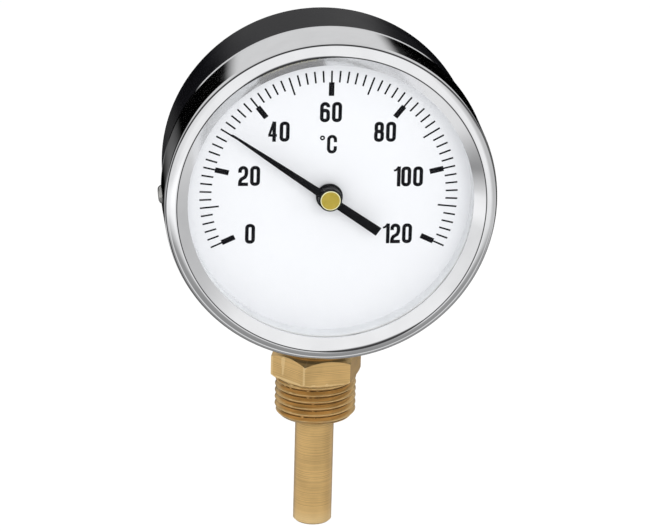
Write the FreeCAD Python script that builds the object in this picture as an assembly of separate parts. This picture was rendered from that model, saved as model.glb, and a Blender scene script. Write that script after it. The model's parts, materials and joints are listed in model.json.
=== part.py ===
import FreeCAD, Part
import math
import os

# Dial thermometer with a stem that enters the case from below and a screw-in brass pocket.
# A bimetal helix in the stem turns a spindle, and a pair of mitre gears turns the pointer.
# Frame: the origin is on the stem axis, on the sealing shoulder under the pocket's hexagon.
# +Z runs up the stem to the dial, the dial faces -Y and +X is to the right of the dial.
# All sizes are in millimetres.

# Case and what closes it
CASE_RADIUS = 40.0
CASE_WALL = 0.8
CASE_BACK_Y = 11.3            # rear face, behind the stem axis
CASE_BACK_ROUND = 3.0
LEDGE_Y = -20.2               # front face of the case's turned-in edge
LEDGE_WIDTH = 4.0
DIAL_THICKNESS = 0.6
DIAL_HOLE_CLEARANCE = 0.8     # around the pointer's neck
SPACER_DEPTH = 4.35           # white wall between the dial and the window
SPACER_WALL = 4.0
GASKET_THICKNESS = 0.6
GLASS_THICKNESS = 1.2
RING_CLEARANCE = 0.3          # dial, spacer and window inside the skirt

# Bezel, from the lip over the window to the skirt around the case
BEZEL_WALL = 1.4
LIP_COVER = 4.15              # how far the lip covers the window
LIP_THICKNESS = 0.4
LIP_LAND = 0.7
SLOPE_RISE = 2.25             # lip up to the crest
FRONT_ROUND = 3.0
FRONT_SHEET = 0.8
INNER_ROUND = 1.6
SKIRT_OVERLAP = 7.6           # how far the skirt covers the case
SKIRT_BEAD = 0.6

# Pocket
INSERTION_LENGTH = 41.0       # sealing shoulder to the tip
TUBE_WALL = 1.0
TUBE_END_WALL = 1.5
TUBE_TIP_CHAMFER = 0.5
THREAD_RADIUS = 10.4775       # G 1/2 pipe thread
THREAD_PITCH = 1.8143
THREAD_DEPTH = 1.162
THREAD_LENGTH = 11.0
THREAD_START = 1.45           # first groove below the shoulder
THREAD_CREST_FLAT = 0.3
THREAD_CUTTER_STAND_OUT = 0.6
HEX_ACROSS_FLATS = 21.0
HEX_HEIGHT = 6.8
HEX_TURN = 11.0               # degrees from square with the dial
HEX_TOP_CHAMFER = 1.4
HEX_BOTTOM_CHAMFER = 0.4
HEX_TOP_INSET = 0.4           # the top chamfer's circle inside the flats
HEX_SEAT_RADIUS = 11.4        # flat underside that takes the seal, cut by the flats
COLLAR_WALL = 4.5
COLLAR_HEIGHT = 5.6
COLLAR_CHAMFER = 0.5
CLAMP_SCREW_RADIUS = 1.5
CLAMP_SCREW_BELOW_TOP = 2.8

# Stem, and the socket that holds it in the case
STEM_RADIUS = 3.93
STEM_WALL = 0.5
STEM_TIP_GAP = 1.0
STEM_ABOVE_SOCKET = 0.5
SEAT_WASHER_THICKNESS = 0.6
SEAT_WASHER_WIDTH = 3.1
SPIGOT_WALL = 1.07
SOCKET_RIM = 2.5              # flange beyond the spigot
SOCKET_FLAT_RIM = 1.5         # the same at the spanner flats
SOCKET_FLANGE = 1.8           # lowest point of the case seal above the flange's underside
SOCKET_NUT_HEIGHT = 3.5
SOCKET_NUT_RIM = 2.0          # nut's flats beyond the spigot
SOCKET_NUT_CHAMFER = 0.5
SOCKET_NUT_INSET = 0.4
SPIGOT_ABOVE_NUT = 1.4
CASE_SEAL_THICKNESS = 0.4
SADDLE_WASHER_RIM = 2.4       # washer beyond the spigot
SADDLE_WASHER_RISE = 0.5      # flat top above the highest point of the curved seat
PLUG_HEIGHT = 2.0
GUIDE_HEIGHT = 4.0

# Bimetal helix and spindle
COIL_RADIUS = 2.4
COIL_STRIP_THICKNESS = 0.3
COIL_STRIP_WIDTH = 2.6
COIL_PITCH = 3.4
COIL_TURNS = 8
COIL_BOSS_HEIGHT = 3.0
SPINDLE_RADIUS = 0.75
SPINDLE_PIVOT_DEPTH = 2.0
COLLAR_THICKNESS = 1.2
COLLAR_OUTER_RADIUS = 2.0

# Mitre gears
GEAR_TEETH = 20
GEAR_PITCH_RADIUS = 4.0
GEAR_FACE_SHARE = 0.4         # face width as a share of the cone distance
GEAR_ADDENDUM = 0.32
GEAR_DEDENDUM = 0.52
GEAR_TOOTH_SHARE = 0.40       # tooth thickness as a share of the pitch
GEAR_FLANK_ANGLE = 20.0
GEAR_HUB_RADIUS = 1.8
GEAR_HUB_LENGTH = 2.4
SPINDLE_END_SHARE = 0.75      # spindle end below the apex, as a share of the pitch radius
TOOTH_SINK = 0.12             # the teeth start this far inside the blank

# Movement bracket and bridge
BAR_THICKNESS = 1.2
BAR_BEHIND_LEDGE = 6.2
TAB_BELOW_GEAR = 5.5          # top of the spindle tab below the pitch circle's edge
BAR_ABOVE_AXIS = 5.2
BAR_TAB_HALF_WIDTH = 5.0
BAR_TAB_BEYOND_GEAR = 0.6
EAR_HEIGHT = 10.0
EAR_DEPTH = 8.0
SIDE_SCREW_BEHIND_BAR = 3.9
SIDE_SCREW_DROP = 5.0         # degrees below the horizontal through the dial axis
SIDE_SCREW_RADIUS = 1.5
SIDE_SCREW_LENGTH = 5.0
SIDE_SCREW_HEAD_RADIUS = 2.4
SIDE_SCREW_HEAD_HEIGHT = 2.0
BRIDGE_BEHIND_GEAR = 1.4      # room for the bush flange behind the teeth
BRIDGE_THICKNESS = 1.2
BRIDGE_HALF_HEIGHT = 4.5
PILLAR_OFFSET = 13.0
PILLAR_RADIUS = 2.0
PILLAR_RIVET_RADIUS = 1.3
BRIDGE_SCREW_RADIUS = 1.0
BRIDGE_SCREW_DEPTH = 4.5
BRIDGE_SCREW_HEAD_RADIUS = 1.9
BRIDGE_SCREW_HEAD_HEIGHT = 1.3

# Bushes
BUSH_RADIUS = 2.2
BUSH_FLANGE_RADIUS = 3.0
BUSH_FLANGE_THICKNESS = 0.6
BUSH_STAND_OUT = 1.2

# Pointer
WINDOW_GAP = 0.25             # between the hub disc and the window
POINTER_THICKNESS = 0.35
TIP_GAP = 5.5                 # pointer tip to the spacer ring
POINTER_TAIL = 14.9
POINTER_TIP_WIDTH = 0.45
POINTER_MIDDLE_WIDTH = 1.3
POINTER_HUB_WIDTH = 2.0
POINTER_TAIL_WIDTH = 2.4
POINTER_REST_ANGLE = -55.4    # degrees clockwise from the top, which is 31 on the scale
ARBOR_RADIUS = 0.75
ARBOR_SHOULDER_RADIUS = 1.2
ARBOR_SHOULDER_LENGTH = 1.5
HUB_PLATE_RADIUS = 3.35
HUB_PLATE_THICKNESS = 0.7
HUB_PLATE_LIFT = 1.7          # front of the plate above the dial
HUB_NECK_RADIUS = 1.6
HUB_NECK_BEHIND_DIAL = 0.3
HUB_CAP_RADIUS = 2.9
HUB_CAP_THICKNESS = 0.3
HUB_DISC_RADIUS = 2.5
HUB_DISC_THICKNESS = 0.2

# Fits
RUNNING = 0.05                # radial clearance of a shaft in its bush
POCKET_CLEARANCE = 0.07       # radial clearance of the stem in the pocket
HOLE_CLEARANCE = 0.1          # radial clearance of fixed pieces in their holes
SLIP = 0.05                   # radial clearance of rings that slip into each other
FACE_GAP = 0.05               # between faces that turn or lift on each other
END_PLAY = 0.1
SLOT_WIDTH = 0.6

# Sizes that follow from the ones above
DIAL_FRONT = LEDGE_Y - DIAL_THICKNESS
SPACER_FRONT = DIAL_FRONT - SPACER_DEPTH
GASKET_FRONT = SPACER_FRONT - GASKET_THICKNESS
GLASS_FRONT = GASKET_FRONT - GLASS_THICKNESS
LIP_FRONT = GLASS_FRONT - LIP_THICKNESS
CREST_Y = LIP_FRONT - SLOPE_RISE
CASE_INNER = CASE_RADIUS - CASE_WALL
SKIRT_INNER = CASE_RADIUS + SLIP
SKIRT_OUTER = SKIRT_INNER + BEZEL_WALL
SKIRT_REAR = LEDGE_Y + SKIRT_OVERLAP
CREST_RADIUS = SKIRT_OUTER - FRONT_ROUND
RING_OUTER = SKIRT_INNER - RING_CLEARANCE
SPACER_INNER = RING_OUTER - SPACER_WALL - SLIP
LIP_RADIUS = RING_OUTER - LIP_COVER
COLLAR_TOP = HEX_HEIGHT + COLLAR_HEIGHT
POCKET_BORE = STEM_RADIUS + POCKET_CLEARANCE
TUBE_RADIUS = POCKET_BORE + TUBE_WALL
COLLAR_RADIUS = POCKET_BORE + COLLAR_WALL
SOCKET_SPIGOT_RADIUS = STEM_RADIUS + SPIGOT_WALL
SOCKET_RADIUS = SOCKET_SPIGOT_RADIUS + SOCKET_RIM
SOCKET_ACROSS_FLATS = 2 * (SOCKET_SPIGOT_RADIUS + SOCKET_FLAT_RIM)
SOCKET_NUT_ACROSS_FLATS = 2 * (SOCKET_SPIGOT_RADIUS + SOCKET_NUT_RIM)
SADDLE_WASHER_RADIUS = SOCKET_SPIGOT_RADIUS + SADDLE_WASHER_RIM
POCKET_BOTTOM = TUBE_END_WALL - INSERTION_LENGTH
STEM_BOTTOM = POCKET_BOTTOM + STEM_TIP_GAP
STEM_INNER = STEM_RADIUS - STEM_WALL
WASHER_BOTTOM = COLLAR_TOP + FACE_GAP
FLANGE_BOTTOM = WASHER_BOTTOM + SEAT_WASHER_THICKNESS + FACE_GAP
SEAL_RADIUS = CASE_RADIUS + CASE_SEAL_THICKNESS
DIAL_HEIGHT = FLANGE_BOTTOM + SOCKET_FLANGE + SEAL_RADIUS
CASE_FLOOR = DIAL_HEIGHT - CASE_INNER
SADDLE_TOP = DIAL_HEIGHT - math.sqrt(CASE_INNER ** 2 - SADDLE_WASHER_RADIUS ** 2) + SADDLE_WASHER_RISE
NUT_TOP = SADDLE_TOP + SOCKET_NUT_HEIGHT
SPIGOT_TOP = NUT_TOP + SPIGOT_ABOVE_NUT
STEM_TOP = SPIGOT_TOP + STEM_ABOVE_SOCKET
PLUG_TOP = STEM_BOTTOM + PLUG_HEIGHT
PLUG_BOSS_TOP = PLUG_TOP + COIL_BOSS_HEIGHT
BOSS_RADIUS = COIL_RADIUS - COIL_STRIP_THICKNESS / 2 - FACE_GAP
COIL_BOTTOM = PLUG_TOP + FACE_GAP
COIL_LENGTH = COIL_PITCH * COIL_TURNS + COIL_STRIP_WIDTH
COIL_TOP = COIL_BOTTOM + COIL_LENGTH
SPINDLE_BOTTOM = PLUG_BOSS_TOP - SPINDLE_PIVOT_DEPTH + END_PLAY
SPINDLE_TOP = DIAL_HEIGHT - SPINDLE_END_SHARE * GEAR_PITCH_RADIUS
TAB_TOP = DIAL_HEIGHT - GEAR_PITCH_RADIUS - TAB_BELOW_GEAR
TAB_BOTTOM = TAB_TOP - BAR_THICKNESS
BAR_FRONT_Y = LEDGE_Y + BAR_BEHIND_LEDGE
BAR_BACK = BAR_FRONT_Y + BAR_THICKNESS
BAR_TAB_END_Y = GEAR_PITCH_RADIUS + BAR_TAB_BEYOND_GEAR
SIDE_SCREW_Y = BAR_BACK + SIDE_SCREW_BEHIND_BAR
BRIDGE_FRONT_Y = GEAR_PITCH_RADIUS + BRIDGE_BEHIND_GEAR
BRIDGE_BACK = BRIDGE_FRONT_Y + BRIDGE_THICKNESS
POINTER_REACH = SPACER_INNER - TIP_GAP
POINTER_PLANE_Y = GASKET_FRONT + WINDOW_GAP + HUB_DISC_THICKNESS + HUB_CAP_THICKNESS
POINTER_BACK = POINTER_PLANE_Y + POINTER_THICKNESS
HUB_PLATE_FRONT = DIAL_FRONT - HUB_PLATE_LIFT
HUB_PLATE_BACK = HUB_PLATE_FRONT + HUB_PLATE_THICKNESS
HUB_NECK_LENGTH = LEDGE_Y + HUB_NECK_BEHIND_DIAL - HUB_PLATE_BACK
HUB_CAP_FRONT = POINTER_PLANE_Y - HUB_CAP_THICKNESS
HUB_DISC_FRONT = HUB_CAP_FRONT - HUB_DISC_THICKNESS
ARBOR_FRONT = POINTER_PLANE_Y - HUB_CAP_THICKNESS / 2
ARBOR_BACK = BRIDGE_BACK + BUSH_STAND_OUT / 2
DIAL_CENTRE = FreeCAD.Vector(0, 0, DIAL_HEIGHT)
CASE_SPAN = (LEDGE_Y, CASE_BACK_Y)
AXIS_X = FreeCAD.Vector(1, 0, 0)
AXIS_Y = FreeCAD.Vector(0, 1, 0)
AXIS_Z = FreeCAD.Vector(0, 0, 1)


def cylinder_z(radius, bottom, top):
    """Solid cylinder on the stem axis."""
    return Part.makeCylinder(radius, top - bottom, FreeCAD.Vector(0, 0, bottom), AXIS_Z)


def cylinder_y(radius, front, back, x=0.0, z=DIAL_HEIGHT):
    """Solid cylinder along Y, on the dial axis unless x and z say otherwise."""
    return Part.makeCylinder(radius, back - front, FreeCAD.Vector(x, front, z), AXIS_Y)


def tube_z(outer, inner, bottom, top):
    """Round tube on the stem axis."""
    return cylinder_z(outer, bottom, top).cut(cylinder_z(inner, bottom - 1, top + 1))


def ring_y(outer, inner, front, back):
    """Flat ring on the dial axis."""
    return cylinder_y(outer, front, back).cut(cylinder_y(inner, front - 1, back + 1))


def box(low, high):
    """Box between two corners."""
    size = [b - a for a, b in zip(low, high)]
    return Part.makeBox(size[0], size[1], size[2], FreeCAD.Vector(*low))


def outline(steps, place):
    """Closed wire from (a, b) points; a step of two points is an arc through the first to the second."""
    edges = []
    here = place(*steps[0])
    for step in steps[1:] + [steps[0]]:
        if isinstance(step[0], tuple):
            through = place(*step[0])
            there = place(*step[1])
            edges.append(Part.Arc(here, through, there).toShape())
        else:
            there = place(*step)
            edges.append(Part.LineSegment(here, there).toShape())
        here = there
    return Part.Wire(edges)


def spin_y(steps):
    """Solid of revolution about the dial axis from (radius, y) points."""
    wire = outline(steps, lambda r, y: FreeCAD.Vector(r, y, DIAL_HEIGHT))
    return Part.Face(wire).revolve(DIAL_CENTRE, AXIS_Y, 360)


def spin_z(steps):
    """Solid of revolution about the stem axis from (radius, z) points."""
    wire = outline(steps, lambda r, z: FreeCAD.Vector(r, 0, z))
    return Part.Face(wire).revolve(FreeCAD.Vector(0, 0, 0), AXIS_Z, 360)


def round_corner(radius, centre_r, centre_y, side_r, side_y, from_side):
    """Arc step of a quarter round: its middle point and its end point."""
    half = radius * math.sqrt(0.5)
    middle = (centre_r + side_r * half, centre_y + side_y * half)
    if from_side:
        return (middle, (centre_r, centre_y + side_y * radius))
    return (middle, (centre_r + side_r * radius, centre_y))


def hexagon_z(across_flats, bottom, top, turn):
    """Hexagonal prism on the stem axis; at turn 0 one flat faces the front."""
    corner = across_flats / math.sqrt(3)
    points = []
    for k in range(7):
        angle = math.radians(turn + 30 + 60 * k)
        points.append(FreeCAD.Vector(corner * math.sin(angle), -corner * math.cos(angle), bottom))
    return Part.Face(Part.makePolygon(points)).extrude(AXIS_Z * (top - bottom))


def chamfered_hexagon(across_flats, bottom, top, turn, low_circle, low_drop, high_circle, high_drop):
    """Hexagonal prism with its corners turned down to a circle on each face."""
    corner = across_flats / math.sqrt(3)
    steps = [(0, bottom), (low_circle, bottom), (corner, bottom + low_drop), (corner, top - high_drop)]
    steps += [(high_circle, top), (0, top)]
    return hexagon_z(across_flats, bottom, top, turn).common(spin_z(steps))


def thread_groove(radius, pitch, depth, start, length):
    """Helical V groove to be cut from a cylinder, running down from z = -start."""
    half = (pitch - THREAD_CREST_FLAT) / 2
    wide = half * (1 + THREAD_CUTTER_STAND_OUT / depth)
    root = radius - depth
    rim = radius + THREAD_CUTTER_STAND_OUT
    helix = Part.makeHelix(pitch, length, root)
    points = [(rim, -wide), (root, 0), (rim, wide), (rim, -wide)]
    profile = Part.makePolygon([FreeCAD.Vector(r, 0, z) for r, z in points])
    groove = Part.Wire(helix.Edges).makePipeShell([profile], True, True)
    groove.translate(FreeCAD.Vector(0, 0, -start - length))
    return groove


def make_pocket():
    """Brass pocket: blind tube, pipe thread, hexagon and the collar that takes the clamp screw."""
    top_circle = HEX_ACROSS_FLATS / 2 - HEX_TOP_INSET
    hexagon = chamfered_hexagon(
        HEX_ACROSS_FLATS, 0, HEX_HEIGHT, HEX_TURN,
        HEX_SEAT_RADIUS, HEX_BOTTOM_CHAMFER, top_circle, HEX_TOP_CHAMFER,
    )
    root = THREAD_RADIUS - THREAD_DEPTH
    tip = -INSERTION_LENGTH
    stem = spin_z([
        (0, HEX_HEIGHT / 2), (THREAD_RADIUS, HEX_HEIGHT / 2), (THREAD_RADIUS, THREAD_DEPTH - THREAD_LENGTH),
        (root, -THREAD_LENGTH), (TUBE_RADIUS, -THREAD_LENGTH), (TUBE_RADIUS, tip + TUBE_TIP_CHAMFER),
        (TUBE_RADIUS - TUBE_TIP_CHAMFER, tip), (0, tip),
    ])
    collar = spin_z([
        (0, HEX_HEIGHT / 2), (COLLAR_RADIUS, HEX_HEIGHT / 2), (COLLAR_RADIUS, COLLAR_TOP - COLLAR_CHAMFER),
        (COLLAR_RADIUS - COLLAR_CHAMFER, COLLAR_TOP), (0, COLLAR_TOP),
    ])
    turns_length = THREAD_LENGTH - THREAD_START + THREAD_PITCH
    groove = thread_groove(THREAD_RADIUS, THREAD_PITCH, THREAD_DEPTH, THREAD_START, turns_length)
    pocket = stem.cut(groove).fuse([hexagon, collar])
    pocket = pocket.cut(cylinder_z(POCKET_BORE, POCKET_BOTTOM, COLLAR_TOP + 1))
    clamp_z = COLLAR_TOP - CLAMP_SCREW_BELOW_TOP
    pocket = pocket.cut(cylinder_y(CLAMP_SCREW_RADIUS, 0, COLLAR_RADIUS + 1, 0, clamp_z))
    return pocket.removeSplitter()


def make_clamp_screw():
    """Slotted grub screw in the back of the collar, just clear of the stem."""
    front = POCKET_BORE + FACE_GAP
    back = COLLAR_RADIUS - COLLAR_CHAMFER / 2
    z = COLLAR_TOP - CLAMP_SCREW_BELOW_TOP
    radius = CLAMP_SCREW_RADIUS - RUNNING
    screw = cylinder_y(radius, front, back, 0, z)
    slot = box((-radius, back - 1, z - SLOT_WIDTH / 2), (radius, back + 1, z + SLOT_WIDTH / 2))
    point = Part.makeCone(0, radius / 2, radius / 2, FreeCAD.Vector(0, front + radius / 2, z), -AXIS_Y)
    return screw.cut(slot).cut(point)


def make_seat_washer():
    """Fibre washer between the pocket's collar and the socket's flange."""
    inner = POCKET_BORE + HOLE_CLEARANCE
    return tube_z(inner + SEAT_WASHER_WIDTH, inner, WASHER_BOTTOM, WASHER_BOTTOM + SEAT_WASHER_THICKNESS)


def make_case():
    """Stamped case: a cup with a round back and its front edge turned in as a ledge."""
    inner_round = CASE_BACK_ROUND - CASE_WALL
    centre_r = CASE_RADIUS - CASE_BACK_ROUND
    centre_y = CASE_BACK_Y - CASE_BACK_ROUND
    ledge_inner = CASE_RADIUS - LEDGE_WIDTH
    shell = spin_y([
        (0, CASE_BACK_Y), (centre_r, CASE_BACK_Y),
        round_corner(CASE_BACK_ROUND, centre_r, centre_y, 1, 1, False),
        (CASE_RADIUS, LEDGE_Y), (ledge_inner, LEDGE_Y), (ledge_inner, LEDGE_Y + CASE_WALL),
        (CASE_INNER, LEDGE_Y + CASE_WALL), (CASE_INNER, centre_y),
        round_corner(inner_round, centre_r, centre_y, 1, 1, True),
        (0, CASE_BACK_Y - CASE_WALL),
    ])
    shell = shell.cut(cylinder_z(SOCKET_SPIGOT_RADIUS + HOLE_CLEARANCE, FLANGE_BOTTOM, SADDLE_TOP))
    for screw_hole in side_screw_bodies(SIDE_SCREW_RADIUS + HOLE_CLEARANCE, 0, CASE_RADIUS + 1):
        shell = shell.cut(screw_hole)
    return shell


def make_bezel():
    """Bezel: lip over the window, slope up to the crest, rounded edge and the skirt around the case."""
    outer_centre_y = CREST_Y + FRONT_ROUND
    sheet_y = CREST_Y + FRONT_SHEET
    bead_y = SKIRT_REAR - SKIRT_BEAD
    return spin_y([
        (SKIRT_INNER, SKIRT_REAR), (SKIRT_OUTER - SKIRT_BEAD, SKIRT_REAR),
        round_corner(SKIRT_BEAD, SKIRT_OUTER - SKIRT_BEAD, bead_y, 1, 1, False),
        (SKIRT_OUTER, outer_centre_y),
        round_corner(FRONT_ROUND, CREST_RADIUS, outer_centre_y, 1, -1, True),
        (LIP_RADIUS, LIP_FRONT), (LIP_RADIUS, GLASS_FRONT), (LIP_RADIUS + LIP_LAND, GLASS_FRONT),
        (SKIRT_INNER - INNER_ROUND - LIP_LAND, sheet_y), (SKIRT_INNER - INNER_ROUND, sheet_y),
        round_corner(INNER_ROUND, SKIRT_INNER - INNER_ROUND, sheet_y + INNER_ROUND, 1, -1, False),
    ])


def make_glass():
    """Flat window."""
    return cylinder_y(RING_OUTER, GLASS_FRONT, GASKET_FRONT)


def make_gasket():
    """Flat gasket behind the window."""
    return ring_y(RING_OUTER - SLIP, RING_OUTER - SPACER_WALL + SLIP, GASKET_FRONT, SPACER_FRONT)


def make_spacer():
    """White ring that stands between the dial and the window."""
    return ring_y(RING_OUTER, SPACER_INNER, SPACER_FRONT, DIAL_FRONT)


def make_dial():
    """Dial plate on the case's ledge, with a hole for the pointer's neck."""
    return ring_y(RING_OUTER, HUB_NECK_RADIUS + DIAL_HOLE_CLEARANCE, DIAL_FRONT, LEDGE_Y)


def side_screw_bodies(radius, inner, outer):
    """A pair of cylinders on the two side screw axes, between two distances from the dial axis."""
    bodies = []
    for side in (1, -1):
        angle = math.radians(SIDE_SCREW_DROP)
        way = FreeCAD.Vector(side * math.cos(angle), 0, -math.sin(angle))
        start = DIAL_CENTRE + AXIS_Y * SIDE_SCREW_Y + way * inner
        bodies.append(Part.makeCylinder(radius, outer - inner, start, way))
    return bodies


def make_side_screws():
    """Pan-head screws, left and right, that hold the bracket in the case."""
    head_end = CASE_RADIUS + SIDE_SCREW_HEAD_HEIGHT
    dome = SIDE_SCREW_HEAD_HEIGHT / 2
    screws = []
    shank_radius = SIDE_SCREW_RADIUS - RUNNING
    shanks = side_screw_bodies(shank_radius, CASE_RADIUS - SIDE_SCREW_LENGTH, CASE_RADIUS + dome)
    heads = side_screw_bodies(SIDE_SCREW_HEAD_RADIUS, CASE_RADIUS, head_end)
    for shank, head, side in zip(shanks, heads, (1, -1)):
        rim = max(head.Edges, key=lambda edge: side * edge.CenterOfMass.x)
        head = head.makeFillet(dome, [rim])
        screw = head.fuse(shank)
        slot = box((0, -SLOT_WIDTH / 2, -5), (1, SLOT_WIDTH / 2, 5))
        slot.translate(FreeCAD.Vector(head_end - 1, SIDE_SCREW_Y, 0))
        slot.rotate(FreeCAD.Vector(0, SIDE_SCREW_Y, 0), AXIS_Y, SIDE_SCREW_DROP)
        if side < 0:
            slot = slot.mirror(FreeCAD.Vector(0, 0, 0), AXIS_X)
        slot.translate(DIAL_CENTRE)
        screws.append(screw.cut(slot))
    return Part.makeCompound(screws)


def make_bracket():
    """Cross bar behind the dial: ears to the case wall and a tab for the spindle's upper bush."""
    reach = CASE_INNER - SLIP
    web = box((-reach, BAR_FRONT_Y, TAB_BOTTOM), (reach, BAR_BACK, DIAL_HEIGHT + BAR_ABOVE_AXIS))
    web = web.common(cylinder_y(reach, BAR_FRONT_Y - 1, BAR_BACK + 1))
    ear_middle = DIAL_HEIGHT - CASE_RADIUS * math.sin(math.radians(SIDE_SCREW_DROP))
    ears = ring_y(reach, reach - BAR_THICKNESS, BAR_FRONT_Y, BAR_BACK + EAR_DEPTH)
    ear_zone = box(
        (-CASE_RADIUS, BAR_FRONT_Y, ear_middle - EAR_HEIGHT / 2),
        (CASE_RADIUS, BAR_BACK + EAR_DEPTH, ear_middle + EAR_HEIGHT / 2),
    )
    tab = box((-BAR_TAB_HALF_WIDTH, BAR_FRONT_Y, TAB_BOTTOM), (BAR_TAB_HALF_WIDTH, BAR_TAB_END_Y, TAB_TOP))
    bracket = web.fuse([ears.common(ear_zone), tab])
    bracket = bracket.cut(cylinder_y(BUSH_RADIUS, BAR_FRONT_Y - 1, BAR_BACK + 1))
    bracket = bracket.cut(cylinder_z(BUSH_RADIUS, TAB_BOTTOM - 1, TAB_TOP + 1))
    for side in (1, -1):
        rivet = cylinder_y(PILLAR_RIVET_RADIUS, BAR_FRONT_Y - 1, BAR_BACK + 1, side * PILLAR_OFFSET)
        bracket = bracket.cut(rivet)
    for screw_hole in side_screw_bodies(SIDE_SCREW_RADIUS, 0, CASE_RADIUS):
        bracket = bracket.cut(screw_hole)
    return bracket.removeSplitter()


def make_bridge():
    """Rear bridge that carries the arbor's rear bush."""
    half_length = PILLAR_OFFSET + BRIDGE_HALF_HEIGHT - PILLAR_RADIUS / 2
    bar_half = half_length - BRIDGE_HALF_HEIGHT
    low = DIAL_HEIGHT - BRIDGE_HALF_HEIGHT
    high = DIAL_HEIGHT + BRIDGE_HALF_HEIGHT
    bridge = box((-bar_half, BRIDGE_FRONT_Y, low), (bar_half, BRIDGE_BACK, high))
    for side in (1, -1):
        end = cylinder_y(BRIDGE_HALF_HEIGHT, BRIDGE_FRONT_Y, BRIDGE_BACK, side * bar_half)
        bridge = bridge.fuse(end)
    for side in (1, -1):
        hole = cylinder_y(
            BRIDGE_SCREW_RADIUS + HOLE_CLEARANCE, BRIDGE_FRONT_Y - 1, BRIDGE_BACK + 1, side * PILLAR_OFFSET
        )
        bridge = bridge.cut(hole)
    bridge = bridge.cut(cylinder_y(BUSH_RADIUS, BRIDGE_FRONT_Y - 1, BRIDGE_BACK + 1))
    return bridge.removeSplitter()


def make_pillars():
    """Two pillars riveted into the bracket and tapped for the bridge screws."""
    pillars = []
    for side in (1, -1):
        x = side * PILLAR_OFFSET
        pillar = cylinder_y(PILLAR_RADIUS, BAR_BACK, BRIDGE_FRONT_Y, x)
        pillar = pillar.fuse(cylinder_y(PILLAR_RIVET_RADIUS, BAR_FRONT_Y, BAR_BACK, x))
        tapped = cylinder_y(BRIDGE_SCREW_RADIUS, BRIDGE_FRONT_Y - BRIDGE_SCREW_DEPTH, BRIDGE_FRONT_Y + 1, x)
        pillars.append(pillar.cut(tapped))
    return Part.makeCompound(pillars)


def make_bridge_screws():
    """Two cheese-head screws that hold the bridge on the pillars."""
    screws = []
    for side in (1, -1):
        x = side * PILLAR_OFFSET
        head_back = BRIDGE_BACK + BRIDGE_SCREW_HEAD_HEIGHT
        tip = BRIDGE_FRONT_Y - BRIDGE_SCREW_DEPTH + END_PLAY
        screw = cylinder_y(BRIDGE_SCREW_HEAD_RADIUS, BRIDGE_BACK, head_back, x)
        screw = screw.fuse(cylinder_y(BRIDGE_SCREW_RADIUS - RUNNING, tip, BRIDGE_BACK, x))
        slot_low = (x - BRIDGE_SCREW_HEAD_RADIUS, head_back - SLOT_WIDTH, DIAL_HEIGHT - SLOT_WIDTH / 2)
        slot_high = (x + BRIDGE_SCREW_HEAD_RADIUS, head_back + 1, DIAL_HEIGHT + SLOT_WIDTH / 2)
        screws.append(screw.cut(box(slot_low, slot_high)))
    return Part.makeCompound(screws)


def bush(length, bore):
    """Flanged bush along +Z: flange below z = 0, body above it."""
    body = cylinder_z(BUSH_RADIUS, 0, length)
    flange = cylinder_z(BUSH_FLANGE_RADIUS, -BUSH_FLANGE_THICKNESS, 0)
    hole = cylinder_z(bore, -BUSH_FLANGE_THICKNESS - 1, length + 1)
    return body.fuse(flange).cut(hole).removeSplitter()


def make_front_bush():
    """Arbor bush in the bracket, flange to the front."""
    piece = bush(BAR_THICKNESS + BUSH_STAND_OUT, ARBOR_RADIUS + RUNNING)
    piece.rotate(FreeCAD.Vector(0, 0, 0), AXIS_X, -90)
    piece.translate(FreeCAD.Vector(0, BAR_FRONT_Y, DIAL_HEIGHT))
    return piece


def make_rear_bush():
    """Arbor bush in the bridge, flange to the front."""
    piece = bush(BRIDGE_THICKNESS, ARBOR_RADIUS + RUNNING)
    piece.rotate(FreeCAD.Vector(0, 0, 0), AXIS_X, -90)
    piece.translate(FreeCAD.Vector(0, BRIDGE_FRONT_Y, DIAL_HEIGHT))
    return piece


def make_spindle_bush():
    """Spindle bush in the bracket's tab, flange on top."""
    piece = bush(BAR_THICKNESS, SPINDLE_RADIUS + RUNNING)
    piece.rotate(FreeCAD.Vector(0, 0, 0), AXIS_X, 180)
    piece.translate(FreeCAD.Vector(0, 0, TAB_TOP))
    return piece


def make_socket():
    """Turned socket: spanner flange shaped to the case, and a spigot up through the case wall."""
    top = DIAL_HEIGHT - CASE_RADIUS / 2
    flange = cylinder_z(SOCKET_RADIUS, FLANGE_BOTTOM, top).cut(cylinder_y(SEAL_RADIUS, *CASE_SPAN))
    half_flat = SOCKET_ACROSS_FLATS / 2
    flats = box((-SOCKET_RADIUS, -half_flat, FLANGE_BOTTOM), (SOCKET_RADIUS, half_flat, top))
    flange = flange.common(flats)
    spigot = cylinder_z(SOCKET_SPIGOT_RADIUS, FLANGE_BOTTOM, SPIGOT_TOP)
    socket = flange.fuse(spigot)
    return socket.cut(cylinder_z(STEM_RADIUS + SLIP / 2, FLANGE_BOTTOM - 1, SPIGOT_TOP + 1)).removeSplitter()


def make_case_seal():
    """Soft seal that follows the case between it and the socket's flange."""
    inner = SOCKET_SPIGOT_RADIUS + HOLE_CLEARANCE
    half_flat = SOCKET_ACROSS_FLATS / 2
    top = DIAL_HEIGHT - CASE_RADIUS / 2
    column = tube_z(SOCKET_RADIUS, inner, FLANGE_BOTTOM, top)
    column = column.common(box((-SOCKET_RADIUS, -half_flat, FLANGE_BOTTOM), (SOCKET_RADIUS, half_flat, top)))
    return column.common(ring_y(SEAL_RADIUS, CASE_RADIUS, *CASE_SPAN))


def make_saddle_washer():
    """Washer inside the case: curved underside, flat top for the nut."""
    inner = SOCKET_SPIGOT_RADIUS + HOLE_CLEARANCE
    washer = tube_z(SADDLE_WASHER_RADIUS, inner, CASE_FLOOR - 1, SADDLE_TOP)
    return washer.common(cylinder_y(CASE_INNER, *CASE_SPAN))


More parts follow.
